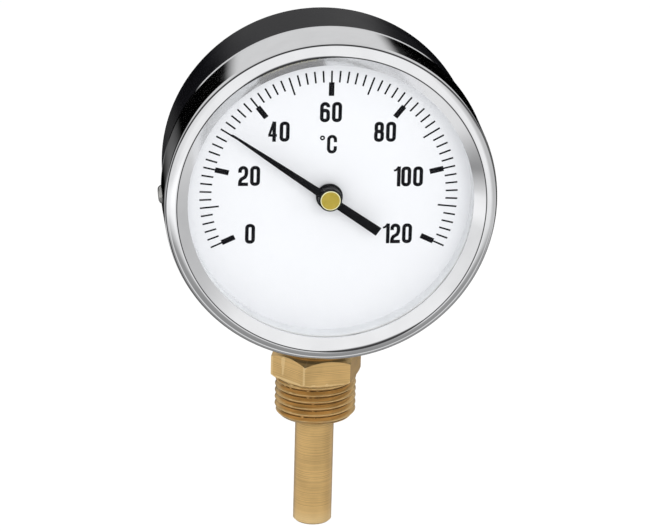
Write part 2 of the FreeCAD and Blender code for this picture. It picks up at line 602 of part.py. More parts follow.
def make_socket_nut():
    """Thin hexagon nut on the spigot."""
    circle = SOCKET_NUT_ACROSS_FLATS / 2 - SOCKET_NUT_INSET
    chamfer = SOCKET_NUT_CHAMFER
    nut = chamfered_hexagon(
        SOCKET_NUT_ACROSS_FLATS, SADDLE_TOP, NUT_TOP, 0, circle, chamfer, circle, chamfer
    )
    return nut.cut(cylinder_z(SOCKET_SPIGOT_RADIUS + SLIP / 2, SADDLE_TOP - 1, NUT_TOP + 1))


def make_stem_tube():
    """Thin stem tube from the socket down into the pocket."""
    return tube_z(STEM_RADIUS, STEM_INNER, STEM_BOTTOM, STEM_TOP)


def make_stem_plug():
    """End plug: closes the stem, anchors the helix and holds the spindle's lower pivot."""
    plug = cylinder_z(STEM_INNER, STEM_BOTTOM, PLUG_TOP)
    plug = plug.fuse(cylinder_z(BOSS_RADIUS, STEM_BOTTOM, PLUG_BOSS_TOP))
    pivot = cylinder_z(SPINDLE_RADIUS + RUNNING, PLUG_BOSS_TOP - SPINDLE_PIVOT_DEPTH, PLUG_BOSS_TOP + 1)
    return plug.cut(pivot).removeSplitter()


def make_stem_guide():
    """Spindle guide at the stem's upper end."""
    return tube_z(STEM_INNER, SPINDLE_RADIUS + RUNNING, STEM_TOP - GUIDE_HEIGHT, STEM_TOP)


def make_bimetal_coil():
    """Helical strip of bimetal around the plug's boss and the carrier."""
    helix = Part.makeHelix(COIL_PITCH, COIL_PITCH * COIL_TURNS, COIL_RADIUS)
    inner = COIL_RADIUS - COIL_STRIP_THICKNESS / 2
    outer = COIL_RADIUS + COIL_STRIP_THICKNESS / 2
    half = COIL_STRIP_WIDTH / 2
    corners = [(inner, -half), (outer, -half), (outer, half), (inner, half), (inner, -half)]
    strip = Part.makePolygon([FreeCAD.Vector(r, 0, z) for r, z in corners])
    coil = Part.Wire(helix.Edges).makePipeShell([strip], True, True)
    coil.translate(FreeCAD.Vector(0, 0, COIL_BOTTOM + half))
    return coil


def make_coil_carrier():
    """Collar on the spindle that takes the helix's upper end."""
    return tube_z(BOSS_RADIUS, SPINDLE_RADIUS, COIL_TOP - COIL_BOSS_HEIGHT, COIL_TOP + FACE_GAP)


def make_spindle():
    """Spindle rod from the plug's pivot up to the drive gear."""
    return cylinder_z(SPINDLE_RADIUS, SPINDLE_BOTTOM, SPINDLE_TOP)


def make_spindle_collar():
    """Collar that stops the spindle from rising out of its pivot."""
    top = TAB_BOTTOM - END_PLAY
    return tube_z(COLLAR_OUTER_RADIUS, SPINDLE_RADIUS, top - COLLAR_THICKNESS, top)


def mitre_gear(bore, tooth_on_contact_line):
    """Straight mitre gear with its apex at the origin and its hub towards -Z.

    Every tooth narrows to the apex. The contact line is the one towards -Y.
    """
    quarter = math.pi / 4
    cone = GEAR_PITCH_RADIUS / math.sin(quarter)
    inner_share = 1 - GEAR_FACE_SHARE

    def on_back_cone(height, sideways):
        """Point of the outer end: height above the pitch line, and distance along the pitch circle."""
        radius = GEAR_PITCH_RADIUS + height * math.cos(quarter)
        depth = GEAR_PITCH_RADIUS - height * math.sin(quarter)
        return FreeCAD.Vector(sideways, -radius, -depth)

    root = on_back_cone(-GEAR_DEDENDUM, 0)
    sunk = on_back_cone(-GEAR_DEDENDUM - TOOTH_SINK, 0)
    hub_top = -cone * math.cos(quarter) * inner_share
    blank = spin_z([
        (0, hub_top), (-root.y * inner_share, root.z * inner_share), (-root.y, root.z),
        (GEAR_HUB_RADIUS, root.z), (GEAR_HUB_RADIUS, root.z - GEAR_HUB_LENGTH), (0, root.z - GEAR_HUB_LENGTH),
    ])
    half_pitch_width = GEAR_TOOTH_SHARE * math.pi * GEAR_PITCH_RADIUS / GEAR_TEETH
    flank = math.tan(math.radians(GEAR_FLANK_ANGLE))
    low_half = half_pitch_width + (GEAR_DEDENDUM + TOOTH_SINK) * flank
    high_half = half_pitch_width - GEAR_ADDENDUM * flank
    tip = on_back_cone(GEAR_ADDENDUM, 0)
    outer_end = [
        FreeCAD.Vector(-low_half, sunk.y, sunk.z), FreeCAD.Vector(low_half, sunk.y, sunk.z),
        FreeCAD.Vector(high_half, tip.y, tip.z), FreeCAD.Vector(-high_half, tip.y, tip.z),
    ]
    tooth = frustum_to_apex(outer_end, inner_share)
    step = 360.0 / GEAR_TEETH
    first = 0.0 if tooth_on_contact_line else step / 2
    teeth = []
    for k in range(GEAR_TEETH):
        copy = tooth.copy()
        copy.rotate(FreeCAD.Vector(0, 0, 0), AXIS_Z, first + k * step)
        teeth.append(copy)
    gear = blank.fuse(teeth)
    return gear.cut(cylinder_z(bore, root.z - GEAR_HUB_LENGTH - 1, 1))


def frustum_to_apex(outer_end, share):
    """Four-sided solid from an outer quadrilateral to the same one shrunk towards the origin."""
    inner_end = [corner * share for corner in outer_end]
    faces = [Part.Face(Part.makePolygon(end + end[:1])) for end in (outer_end, inner_end)]
    for k in range(4):
        after = (k + 1) % 4
        ring = [outer_end[k], outer_end[after], inner_end[after], inner_end[k], outer_end[k]]
        faces.append(Part.Face(Part.makePolygon(ring)))
    solid = Part.Solid(Part.Shell(faces))
    if solid.Volume < 0:
        solid.reverse()
    return solid


def make_drive_gear():
    """Mitre gear on the spindle, apex on the dial axis."""
    gear = mitre_gear(SPINDLE_RADIUS, True)
    gear.translate(DIAL_CENTRE)
    return gear


def make_arbor_gear():
    """Mitre gear on the pointer arbor, in front of the spindle and in mesh with the drive gear."""
    gear = mitre_gear(ARBOR_RADIUS, False)
    gear.rotate(FreeCAD.Vector(0, 0, 0), AXIS_X, -90)
    gear.translate(DIAL_CENTRE)
    return gear


def make_arbor():
    """Pointer arbor with a shoulder in front of the rear bush."""
    arbor = cylinder_y(ARBOR_RADIUS, ARBOR_FRONT, ARBOR_BACK)
    shoulder_back = BRIDGE_FRONT_Y - BUSH_FLANGE_THICKNESS - END_PLAY
    shoulder = cylinder_y(ARBOR_SHOULDER_RADIUS, shoulder_back - ARBOR_SHOULDER_LENGTH, shoulder_back)
    return arbor.fuse(shoulder).removeSplitter()


def make_arbor_collar():
    """Collar behind the front bush that keeps the arbor from moving forward."""
    front = BAR_BACK + BUSH_STAND_OUT + END_PLAY
    return ring_y(COLLAR_OUTER_RADIUS, ARBOR_RADIUS, front, front + COLLAR_THICKNESS)


def make_pointer():
    """Pointer blade with a square tail, cut from thin sheet."""
    middle = POINTER_REACH / 2
    halves = [
        (-POINTER_TAIL, POINTER_TAIL_WIDTH / 2), (0, POINTER_HUB_WIDTH / 2),
        (middle, POINTER_MIDDLE_WIDTH / 2),
        (POINTER_REACH - POINTER_TIP_WIDTH, POINTER_TIP_WIDTH / 2), (POINTER_REACH, POINTER_TIP_WIDTH / 6),
    ]
    right = [FreeCAD.Vector(half, POINTER_PLANE_Y, DIAL_HEIGHT + along) for along, half in halves]
    left = [FreeCAD.Vector(-half, POINTER_PLANE_Y, DIAL_HEIGHT + along) for along, half in reversed(halves)]
    blade = Part.Face(Part.makePolygon(right + left + right[:1])).extrude(AXIS_Y * POINTER_THICKNESS)
    blade = blade.fuse(cylinder_y(HUB_CAP_RADIUS, POINTER_PLANE_Y, POINTER_BACK))
    blade = blade.cut(cylinder_y(ARBOR_RADIUS, POINTER_PLANE_Y - 1, POINTER_BACK + 1))
    blade.rotate(DIAL_CENTRE, AXIS_Y, POINTER_REST_ANGLE)
    return blade.removeSplitter()


def make_pointer_hub():
    """Hub behind the blade: a barrel, a plate close to the dial and a neck through the dial."""
    barrel = cylinder_y(HUB_CAP_RADIUS, POINTER_BACK, HUB_PLATE_FRONT)
    plate = cylinder_y(HUB_PLATE_RADIUS, HUB_PLATE_FRONT, HUB_PLATE_BACK)
    neck = cylinder_y(HUB_NECK_RADIUS, HUB_PLATE_BACK, HUB_PLATE_BACK + HUB_NECK_LENGTH)
    hub = barrel.fuse([plate, neck]).removeSplitter()
    return hub.cut(cylinder_y(ARBOR_RADIUS, POINTER_BACK - 1, HUB_PLATE_BACK + HUB_NECK_LENGTH + 1))


def make_hub_cap():
    """Black cap on the end of the arbor."""
    cap = cylinder_y(HUB_CAP_RADIUS, HUB_CAP_FRONT, POINTER_PLANE_Y)
    return cap.cut(cylinder_y(ARBOR_RADIUS, ARBOR_FRONT, POINTER_PLANE_Y + 1))


def make_hub_disc():
    """Brass disc on the cap."""
    return cylinder_y(HUB_DISC_RADIUS, HUB_DISC_FRONT, HUB_CAP_FRONT)


NODES = {
    "pocket": make_pocket,
    "clamp_screw": make_clamp_screw,
    "seat_washer": make_seat_washer,
    "case_shell": make_case,
    "bezel_ring": make_bezel,
    "window_glass": make_glass,
    "window_gasket": make_gasket,
    "spacer_ring": make_spacer,
    "dial_plate": make_dial,
    "case_side_screws": make_side_screws,
    "movement_bracket": make_bracket,
    "rear_bridge": make_bridge,
    "bridge_pillars": make_pillars,
    "bridge_screws": make_bridge_screws,
    "arbor_front_bush": make_front_bush,
    "arbor_rear_bush": make_rear_bush,
    "spindle_bush": make_spindle_bush,
    "stem_socket": make_socket,
    "case_seal": make_case_seal,
    "saddle_washer": make_saddle_washer,
    "socket_nut": make_socket_nut,
    "stem_tube": make_stem_tube,
    "stem_plug": make_stem_plug,
    "stem_guide": make_stem_guide,
    "bimetal_coil": make_bimetal_coil,
    "coil_carrier": make_coil_carrier,
    "spindle_rod": make_spindle,
    "spindle_collar": make_spindle_collar,
    "drive_gear": make_drive_gear,
    "arbor_gear": make_arbor_gear,
    "pointer_arbor": make_arbor,
    "arbor_collar": make_arbor_collar,
    "pointer": make_pointer,
    "pointer_hub": make_pointer_hub,
    "hub_cap": make_hub_cap,
    "hub_disc": make_hub_disc,
}

os.makedirs("parts", exist_ok=True)
for node, make in NODES.items():
    shape = make()
    solids = len(shape.Solids)
    if not shape.isValid() or solids == 0:
        raise ValueError(node + " is not a valid solid")
    shape.exportStep("parts/" + node + ".step")
    size = shape.BoundBox
    print(node, "solids", solids, "volume", round(shape.Volume, 3), "box",
          [round(v, 2) for v in (size.XMin, size.XMax, size.YMin, size.YMax, size.ZMin, size.ZMax)])
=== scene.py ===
"""Looks of the dial thermometer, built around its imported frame.

The frame holds every piece of the thermometer at its real size. This script gives each piece its
finish, replaces the case and its side screws, the bezel, the pocket, and the pointer with its hub by
finer meshes, and prints the scale, its figures and the unit on the dial.
"""

import json
import logging
import math
from collections.abc import Callable, Iterable, Sequence
from dataclasses import dataclass, field
from enum import Enum

import bmesh
import bpy
from mathutils import Matrix, Vector


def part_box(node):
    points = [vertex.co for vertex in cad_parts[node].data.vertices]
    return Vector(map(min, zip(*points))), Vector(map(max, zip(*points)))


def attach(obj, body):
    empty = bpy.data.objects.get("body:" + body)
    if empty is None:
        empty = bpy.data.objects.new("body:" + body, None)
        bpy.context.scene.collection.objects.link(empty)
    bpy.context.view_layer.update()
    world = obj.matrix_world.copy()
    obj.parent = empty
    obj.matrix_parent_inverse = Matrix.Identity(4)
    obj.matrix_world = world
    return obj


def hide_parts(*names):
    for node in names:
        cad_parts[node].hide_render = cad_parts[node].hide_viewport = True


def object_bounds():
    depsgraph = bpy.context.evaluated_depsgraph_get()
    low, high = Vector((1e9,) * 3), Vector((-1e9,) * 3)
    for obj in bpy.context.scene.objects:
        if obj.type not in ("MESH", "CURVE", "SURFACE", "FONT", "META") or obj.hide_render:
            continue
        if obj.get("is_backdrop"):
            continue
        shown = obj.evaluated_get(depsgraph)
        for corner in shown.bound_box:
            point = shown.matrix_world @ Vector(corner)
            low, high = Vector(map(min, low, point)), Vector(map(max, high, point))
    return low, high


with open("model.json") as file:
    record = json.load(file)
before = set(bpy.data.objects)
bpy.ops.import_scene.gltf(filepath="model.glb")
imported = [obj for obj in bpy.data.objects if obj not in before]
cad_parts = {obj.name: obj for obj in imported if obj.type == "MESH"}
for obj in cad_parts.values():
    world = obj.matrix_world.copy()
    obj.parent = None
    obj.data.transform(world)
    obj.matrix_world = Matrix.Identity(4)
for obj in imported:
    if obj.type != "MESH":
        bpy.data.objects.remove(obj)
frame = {"nodes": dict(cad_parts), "record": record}

LOG = logging.getLogger("thermometer")
MM = 0.001
MICRON = 0.000001
MIX_SHARE, MIX_FIRST, MIX_SECOND = 0, 6, 7      # inputs of a Mix node that mixes colours
MIX_RESULT = 2                                  # its output

Point = tuple[float, float]
Colour = tuple[float, float, float]
Solid = tuple[list[Vector], list[tuple[int, ...]]]
Socket = bpy.types.NodeSocket


class Turn(Enum):
    """Axis that a turned piece or a turned finish goes round."""

    DIAL = "dial"
    STEM = "stem"


class Grain(Enum):
    """Direction in which drawn or rolled metal is grained."""

    ALONG_X = (0.04, 1.0, 1.0)
    ALONG_Y = (1.0, 0.04, 1.0)
    ALONG_Z = (1.0, 1.0, 0.04)


# ---------------------------------------------------------------------------------------------
# Outlines and meshes
# ---------------------------------------------------------------------------------------------


def arc(centre: Point, radius: Point, start: float, end: float, steps: int = 12) -> list[Point]:
    """Points of an elliptical arc.

    Args:
        centre: Centre of the arc.
        radius: Half axes of the ellipse.
        start: First angle in degrees, counted from the first axis.
        end: Last angle in degrees.
        steps: Number of chords.

    Returns:
        The points from start to end, both included.
    """
    turn = [math.radians(start + (end - start) * k / steps) for k in range(steps + 1)]
    return [(centre[0] + radius[0] * math.cos(a), centre[1] + radius[1] * math.sin(a)) for a in turn]


def rounded(corners: Sequence[tuple[float, float, float]], steps: int = 6) -> list[Point]:
    """Closed outline with its corners rounded.

    Args:
        corners: Corner points as (a, b, radius); a radius of 0 leaves the corner sharp.
        steps: Chords in each rounded corner.

    Returns:
        The outline's points, in the order of the corners.
    """
    points: list[Point] = []
    count = len(corners)
    for index, (a, b, radius) in enumerate(corners):
        here = Vector((a, b))
        if radius <= 0:
            points.append((a, b))
            continue
        before = (Vector(corners[index - 1][:2]) - here).normalized()
        after = (Vector(corners[(index + 1) % count][:2]) - here).normalized()
        half = math.acos(max(-1.0, min(1.0, before.dot(after)))) / 2
        reach = radius / math.tan(half)
        centre = here + (before + after).normalized() * radius / math.sin(half)
        first = here + before * reach - centre
        last = here + after * reach - centre
        sweep = first.angle_signed(last)
        for k in range(steps + 1):
            turned = first.copy()
            turned.rotate(Matrix.Rotation(-sweep * k / steps, 2))
            points.append(tuple(centre + turned))
    return points


def new_object(name: str, mesh: bpy.types.Mesh) -> bpy.types.Object:
    """Links a new object that shows a mesh.

    Args:
        name: Name of the piece.
        mesh: Its mesh, in the frame's own coordinates.

    Returns:
        The object.
    """
    piece = bpy.data.objects.new(name, mesh)
    bpy.context.scene.collection.objects.link(piece)
    return piece


def shade(piece: bpy.types.Object, sharp_over: float = 38.0, weighted: bool = True) -> None:
    """Smooths a piece's shading and keeps its real edges.

    Args:
        piece: Object to shade.
        sharp_over: Edges that turn more than this many degrees stay sharp.
        weighted: Whether large faces pull the normals of their corners flat.
    """
    mesh = piece.data
    mesh.polygons.foreach_set("use_smooth", [True] * len(mesh.polygons))
    mesh.set_sharp_from_angle(angle=math.radians(sharp_over))
    if weighted:
        flat = piece.modifiers.new("flat_faces", "WEIGHTED_NORMAL")
        flat.keep_sharp = True


def mesh_piece(name: str, points: Sequence[Vector], faces: Sequence[Sequence[int]]) -> bpy.types.Object:
    """Makes a closed piece from points and faces, with its normals outward.

    Args:
        name: Name of the piece.
        points: Corner points in metres.
        faces: Corner indices of each face.

    Returns:
        The object.
    """
    mesh = bpy.data.meshes.new(name)
    mesh.from_pydata([tuple(p) for p in points], [], [list(f) for f in faces])
    board = bmesh.new()
    board.from_mesh(mesh)
    bmesh.ops.remove_doubles(board, verts=board.verts, dist=1e-8)
    bmesh.ops.dissolve_degenerate(board, dist=1e-9, edges=board.edges)
    bmesh.ops.recalc_face_normals(board, faces=board.faces)
    board.to_mesh(mesh)
    board.free()
    return new_object(name, mesh)


def lathe(name: str, outline: Sequence[Point], about: Turn, centre: Vector, segments: int = 256
          ) -> bpy.types.Object:
    """Turns a closed outline into a solid ring or disc.

    Args:
        name: Name of the piece.
        outline: Closed outline as (radius, place along the axis), in metres.
        about: Axis to turn about.
        centre: A point on that axis.
        segments: Faces around.

    Returns:
        The turned piece.
    """
    points: list[Vector] = []
    faces: list[tuple[int, ...]] = []
    count = len(outline)
    for k in range(segments):
        angle = 2 * math.pi * k / segments
        across, up = math.cos(angle), math.sin(angle)
        for radius, along in outline:
            if about is Turn.DIAL:
                points.append(Vector((centre.x + radius * across, along, centre.z + radius * up)))
            else:
                points.append(Vector((centre.x + radius * across, centre.y + radius * up, along)))
        after = (k + 1) % segments
        for j in range(count):
            j2 = (j + 1) % count
            if outline[j][0] <= 0 and outline[j2][0] <= 0:
                continue
            faces.append((k * count + j, k * count + j2, after * count + j2, after * count + j))
    return mesh_piece(name, points, faces)


def prism(points: Sequence[Point], place: Callable[[float, float, float], Vector], low: float, high: float
          ) -> Solid:
    """Flat outline given a thickness.

    Args:
        points: Closed outline.
        place: Turns (a, b, height) into a point of the frame.
        low: Height of the lower face.
        high: Height of the upper face.

    Returns:
        Points and faces of the prism.
    """
    count = len(points)
    solid = [place(a, b, low) for a, b in points] + [place(a, b, high) for a, b in points]
    faces: list[tuple[int, ...]] = [tuple(range(count)), tuple(range(count, 2 * count))]
    faces += [(k, (k + 1) % count, count + (k + 1) % count, count + k) for k in range(count)]
    return solid, faces


def join(name: str, solids: Iterable[Solid]) -> bpy.types.Object:
    """Puts several solids into one piece.

    Args:
        name: Name of the piece.
        solids: Points and faces of each solid.

    Returns:
        The piece.
    """
    points: list[Vector] = []
    faces: list[tuple[int, ...]] = []
    for some_points, some_faces in solids:
        start = len(points)
        points += some_points
        faces += [tuple(start + i for i in face) for face in some_faces]
    return mesh_piece(name, points, faces)


def carve(piece: bpy.types.Object, cutter: bpy.types.Object) -> None:
    """Cuts one piece with another and removes the cutter.

    Args:
        piece: Object that loses material.
        cutter: Object whose space is taken away.
    """
    cut = piece.modifiers.new("cut", "BOOLEAN")
    cut.operation = "DIFFERENCE"
    cut.solver = "EXACT"
    cut.object = cutter
    bpy.context.view_layer.update()
    result = piece.evaluated_get(bpy.context.evaluated_depsgraph_get())
    carved = bpy.data.meshes.new_from_object(result)
    piece.modifiers.clear()
    piece.data = carved
    bpy.data.objects.remove(cutter)


def drill(piece: bpy.types.Object, radius: float, start: Vector, way: Vector, depth: float) -> None:
    """Drills a round hole.

    Args:
        piece: Object to drill.
        radius: Radius of the hole.
        start: Middle of the hole's mouth.
        way: Direction of the drill.
        depth: Depth from the mouth.
    """
    mesh = bpy.data.meshes.new("drill")
    board = bmesh.new()
    turned = way.to_track_quat("Z", "Y").to_matrix().to_4x4()
    place = Matrix.Translation(start + way * depth / 2) @ turned
    bmesh.ops.create_cone(board, cap_ends=True, segments=64, radius1=radius, radius2=radius,
                          depth=depth, matrix=place)
    board.to_mesh(mesh)
    board.free()
    carve(piece, new_object("drill", mesh))


def ease_edges(piece: bpy.types.Object, width: float, over: float, steps: int = 2,
               between: tuple[float, float] = (-1.0, 1.0)) -> None:
    """Breaks a piece's sharp edges with a small radius.

    Args:
        piece: Object to ease.
        width: Width of the eased edge in metres.
        over: Only edges that turn more than this many degrees are eased.
        steps: Facets across the eased edge.
        between: Lowest and highest z of the edges that are eased.
    """
    board = bmesh.new()
    board.from_mesh(piece.data)
    layer = board.edges.layers.float.get("bevel_weight_edge")
    if layer is None:
        layer = board.edges.layers.float.new("bevel_weight_edge")
    for edge in board.edges:
        inside = all(between[0] <= vert.co.z <= between[1] for vert in edge.verts)
        if inside and edge.calc_face_angle(0.0) > math.radians(over):
            edge[layer] = 1.0
    board.to_mesh(piece.data)
    board.free()
    ease = piece.modifiers.new("eased_edges", "BEVEL")
    ease.limit_method = "WEIGHT"
    ease.width = width
    ease.segments = steps
    ease.harden_normals = False


# ---------------------------------------------------------------------------------------------
# Finishes
# ---------------------------------------------------------------------------------------------


def brightened(colour: Colour, factor: float) -> Colour:
    """A colour made brighter or darker by a factor."""
    return tuple(min(1.0, part * factor) for part in colour)


def fill_ramp(node: bpy.types.Node, stops: Iterable[tuple[float, Colour]]) -> None:
    """Sets the stops of a colour ramp.

    Args:
        node: The ramp's node.
        stops: Places from 0 to 1 with their colours.
    """
    wanted = list(stops)
    row = node.color_ramp.elements
    while len(row) < len(wanted):
        row.new(0.5)
    for element, (place, colour) in zip(row, wanted):
        element.position = place
        element.color = (*colour, 1.0)


class Board:
    """A material's node board, with short calls for adding and joining nodes."""

    def __init__(self, name: str) -> None:
        """Starts a material that holds one Principled shader.

        Args:
            name: Name of the material.
        """
        self.material = bpy.data.materials.new(name)
        self.material.use_nodes = True
        self.tree = self.material.node_tree
        self.shader = self.tree.nodes["Principled BSDF"]
        self.output = self.tree.nodes["Material Output"]

    def add(self, kind: str, **settings: object) -> bpy.types.Node:
        """Adds a node.

        Args:
            kind: Blender's name of the node type, without the word ShaderNode.
            settings: Values of the node's own properties.

        Returns:
            The node.
        """
        node = self.tree.nodes.new("ShaderNode" + kind)
        for key, value in settings.items():
            setattr(node, key, value)
        return node

    def link(self, source: Socket, target: Socket) -> None:
        """Joins an output to an input."""
        self.tree.links.new(source, target)

    def set(self, **values: object) -> None:
        """Sets sockets of the shader; an underscore in a name stands for a space."""
        for key, value in values.items():
            self.shader.inputs[key.replace("_", " ")].default_value = value

    def place(self, scale: Sequence[float] = (1, 1, 1), shift: Sequence[float] = (0, 0, 0)) -> Socket:
        """Position on the piece, stretched and shifted.

        Args:
            scale: Stretch along the frame's axes.
            shift: Shift in metres, before the stretch.

        Returns:
            The vector socket.
        """
        where = self.add("TexCoord")
        moved = self.add("VectorMath", operation="ADD")
        moved.inputs[1].default_value = shift
        stretched = self.add("VectorMath", operation="MULTIPLY")
        stretched.inputs[1].default_value = scale
        self.link(where.outputs["Object"], moved.inputs[0])
        self.link(moved.outputs[0], stretched.inputs[0])
        return stretched.outputs[0]

    def math(self, operation: str, first: Socket, second: object = 0.0) -> Socket:
        """One step of arithmetic.

        Args:
            operation: Name of the operation.
            first: First input.
            second: Second input, a socket or a number.

        Returns:
            The result's socket.
        """
        node = self.add("Math", operation=operation)
        self.link(first, node.inputs[0])
        if isinstance(second, Socket):
            self.link(second, node.inputs[1])
        else:
            node.inputs[1].default_value = second
        return node.outputs[0]

    def radius(self, about: Turn, dial_height: float) -> Socket:
        """Distance from the dial's or the stem's axis.

        Args:
            about: Which axis.
            dial_height: Height of the dial's axis.

        Returns:
            The distance's socket, in metres.
        """
        if about is Turn.DIAL:
            flat = self.place((1, 0, 1), (0, 0, -dial_height))
        else:
            flat = self.place((1, 1, 0))
        length = self.add("VectorMath", operation="LENGTH")
        self.link(flat, length.inputs[0])
        return length.outputs["Value"]

    def part_along(self, about: Turn, vector: Socket) -> Socket:
        """A vector's part along the dial's or the stem's axis.

        Args:
            about: Which axis.
            vector: The vector.

        Returns:
            The part's socket.
        """
        parts = self.add("SeparateXYZ")
        self.link(vector, parts.inputs[0])
        return parts.outputs["Y" if about is Turn.DIAL else "Z"]

    def noise(self, scale: float, detail: float = 3.0, vector: Socket | None = None) -> Socket:
        """Cloudy noise.

        Args:
            scale: Waves per metre.
            detail: Octaves.
            vector: Position to read it at; the piece's own by default.

        Returns:
            The noise's value, from 0 to 1.
        """
        node = self.add("TexNoise")
        node.inputs["Scale"].default_value = scale
        node.inputs["Detail"].default_value = detail
        self.link(vector if vector is not None else self.place(), node.inputs["Vector"])
        return node.outputs["Fac"]

    def stripes(self, value: Socket, scale: float, detail: float = 2.0) -> Socket:
        """Uneven lines across one value, such as a turning tool leaves.

        Args:
            value: The value that the lines run across, in metres.
            scale: Lines per metre.
            detail: Octaves.

        Returns:
            The lines' value, from 0 to 1.
        """
        node = self.add("TexNoise", noise_dimensions="1D")
        node.inputs["Scale"].default_value = scale
        node.inputs["Detail"].default_value = detail
        self.link(value, node.inputs["W"])
        return node.outputs["Fac"]

    def ramp(self, value: Socket, stops: Iterable[tuple[float, Colour]]) -> Socket:
        """Colour along a value.

        Args:
            value: What drives the colour.
            stops: Places from 0 to 1 with their colours.

        Returns:
            The colour's socket.
        """
        node = self.add("ValToRGB")
        fill_ramp(node, stops)
        self.link(value, node.inputs["Fac"])
        return node.outputs["Color"]

    def spread(self, value: Socket, low: float, high: float, start: float = 0.3, end: float = 0.7
               ) -> Socket:
        """Maps a value from one range to another.

        Args:
            value: Value to map.
            low: Result at start.
            high: Result at end.
            start: Lower end of the value's range.
            end: Upper end of the value's range.

        Returns:
            The mapped value's socket.
        """
        node = self.add("MapRange")
        node.inputs["From Min"].default_value = start
        node.inputs["From Max"].default_value = end
        node.inputs["To Min"].default_value = low
        node.inputs["To Max"].default_value = high
        self.link(value, node.inputs["Value"])
        return node.outputs["Result"]

    def cover(self, share: Socket, under: Socket, over: Colour) -> Socket:
        """Covers one colour with another by a share.

        Args:
            share: How much of the cover shows, from 0 to 1.
            under: The colour beneath.
            over: The colour of the cover.

        Returns:
            The mixed colour's socket.
        """
        node = self.add("Mix", data_type="RGBA")
        node.inputs[MIX_SECOND].default_value = (*over, 1.0)
        self.link(share, node.inputs[MIX_SHARE])
        self.link(under, node.inputs[MIX_FIRST])
        return node.outputs[MIX_RESULT]

    def tone(self, pattern: Socket, colour: Colour, factors: Point, between: Point = (0.3, 0.7)) -> None:
        """Colours the surface between two shades of one colour.

        Args:
            pattern: What decides the shade.
            colour: The colour.
            factors: Brightness of the two shades, as factors of the colour.
            between: Values of the pattern where the two shades stand.
        """
        shades = [(at, brightened(colour, factor)) for at, factor in zip(between, factors)]
        self.link(self.ramp(pattern, shades), self.shader.inputs["Base Color"])

    def roughen(self, pattern: Socket, roughness: Point, between: Point = (0.3, 0.7)) -> None:
        """Varies the roughness with a pattern.

        Args:
            pattern: What decides the roughness.
            roughness: Its two ends.
            between: Values of the pattern where the two ends stand.
        """
        self.link(self.spread(pattern, *roughness, *between), self.shader.inputs["Roughness"])

    def relief(self, *heights: tuple[Socket, float]) -> None:
        """Bumps the surface with one or more patterns.

        Args:
            heights: Each pattern with its height in metres.
        """
        normal = None
        for pattern, height in heights:
            bump = self.add("Bump")
            bump.inputs["Strength"].default_value = 1.0
            bump.inputs["Distance"].default_value = height
            self.link(pattern, bump.inputs["Height"])
            if normal is not None:
                self.link(normal, bump.inputs["Normal"])
            normal = bump.outputs["Normal"]
        self.link(normal, self.shader.inputs["Normal"])


@dataclass(frozen=True)
class Chrome:
    """Polished chrome plate over spun metal, with fine turning lines and painted shade: dark lines painted
    along the crest fold and along a line on the shoulder.
    """

    dial_height: float
    crest: float
    shoulder_shade_line: float
    # Painted shade: width, dark core, depth and colour of the dark lines painted at the crest and on the
    # shoulder.
    fold_shade_width: float = 0.19 * MM
    fold_shade_core: float = 0.45
    fold_shade_depth: float = 0.96
    fold_shade_colour: Colour = (0.02, 0.02, 0.022)
    # Painted shade: the crest's painted line widens toward this angle and toward its opposite side.
    shade_widening_angle: float = -17.0
    shade_widening_more: float = 1.5
    shade_widening_range: Point = (0.87, 0.985)
    colour: Colour = (0.88, 0.885, 0.90)
    hazy: float = 0.95
    haze_waves: float = 160.0
    haze_range: Point = (0.3, 0.62)
    roughness: Point = (0.04, 0.09)
    lines_per_metre: float = 9000.0
    line_height: float = 0.8 * MICRON
    ripple_waves: float = 90.0
    ripple_height: float = 3.0 * MICRON

    def fold_shade_widening(self, board: Board, radius: Socket) -> Socket:
        """Widening of the painted shade line at the crest, greatest near the top and opposite it.

        Args:
            board: The material's board.
            radius: Distance from the dial's axis.

        Returns:
            The factor's socket.
        """
        toward = board.add("VectorMath", operation="DOT_PRODUCT")
        turn = math.radians(self.shade_widening_angle)
        toward.inputs[1].default_value = (math.sin(turn), 0.0, math.cos(turn))
        board.link(board.place(shift=(0, 0, -self.dial_height)), toward.inputs[0])
        share = board.math("POWER", board.math("DIVIDE", toward.outputs["Value"], radius), 2.0)
        return board.spread(share, 1.0, 1.0 + self.shade_widening_more, *self.shade_widening_range)

    def build(self) -> bpy.types.Material:
        """Makes the material.

        Returns:
            The chrome.
        """
        board = Board("bezel_chrome")
        board.set(Metallic=1.0)
        radius = board.radius(Turn.DIAL, self.dial_height)
        lines = board.stripes(radius, self.lines_per_metre)
        haze = board.noise(self.haze_waves, 4.0)
        tint = board.ramp(haze, zip(self.haze_range, (brightened(self.colour, self.hazy), self.colour)))
        widening = self.fold_shade_widening(board, radius)
        # Painted shade: the chrome's colour is darkened in thin lines at the crest fold and on the
        # shoulder.
        for fold in (self.crest, self.shoulder_shade_line):
            off = board.math("ABSOLUTE", board.math("SUBTRACT", radius, fold))
            if fold == self.crest:
                off = board.math("DIVIDE", off, widening)
            core = self.fold_shade_width * self.fold_shade_core
            dark = board.spread(off, self.fold_shade_depth, 0.0, core, self.fold_shade_width)
            tint = board.cover(dark, tint, self.fold_shade_colour)
        board.link(tint, board.shader.inputs["Base Color"])
        board.roughen(haze, self.roughness)
        ripple = board.noise(self.ripple_waves, 2.0)
        board.relief((lines, self.line_height), (ripple, self.ripple_height))
        return board.material


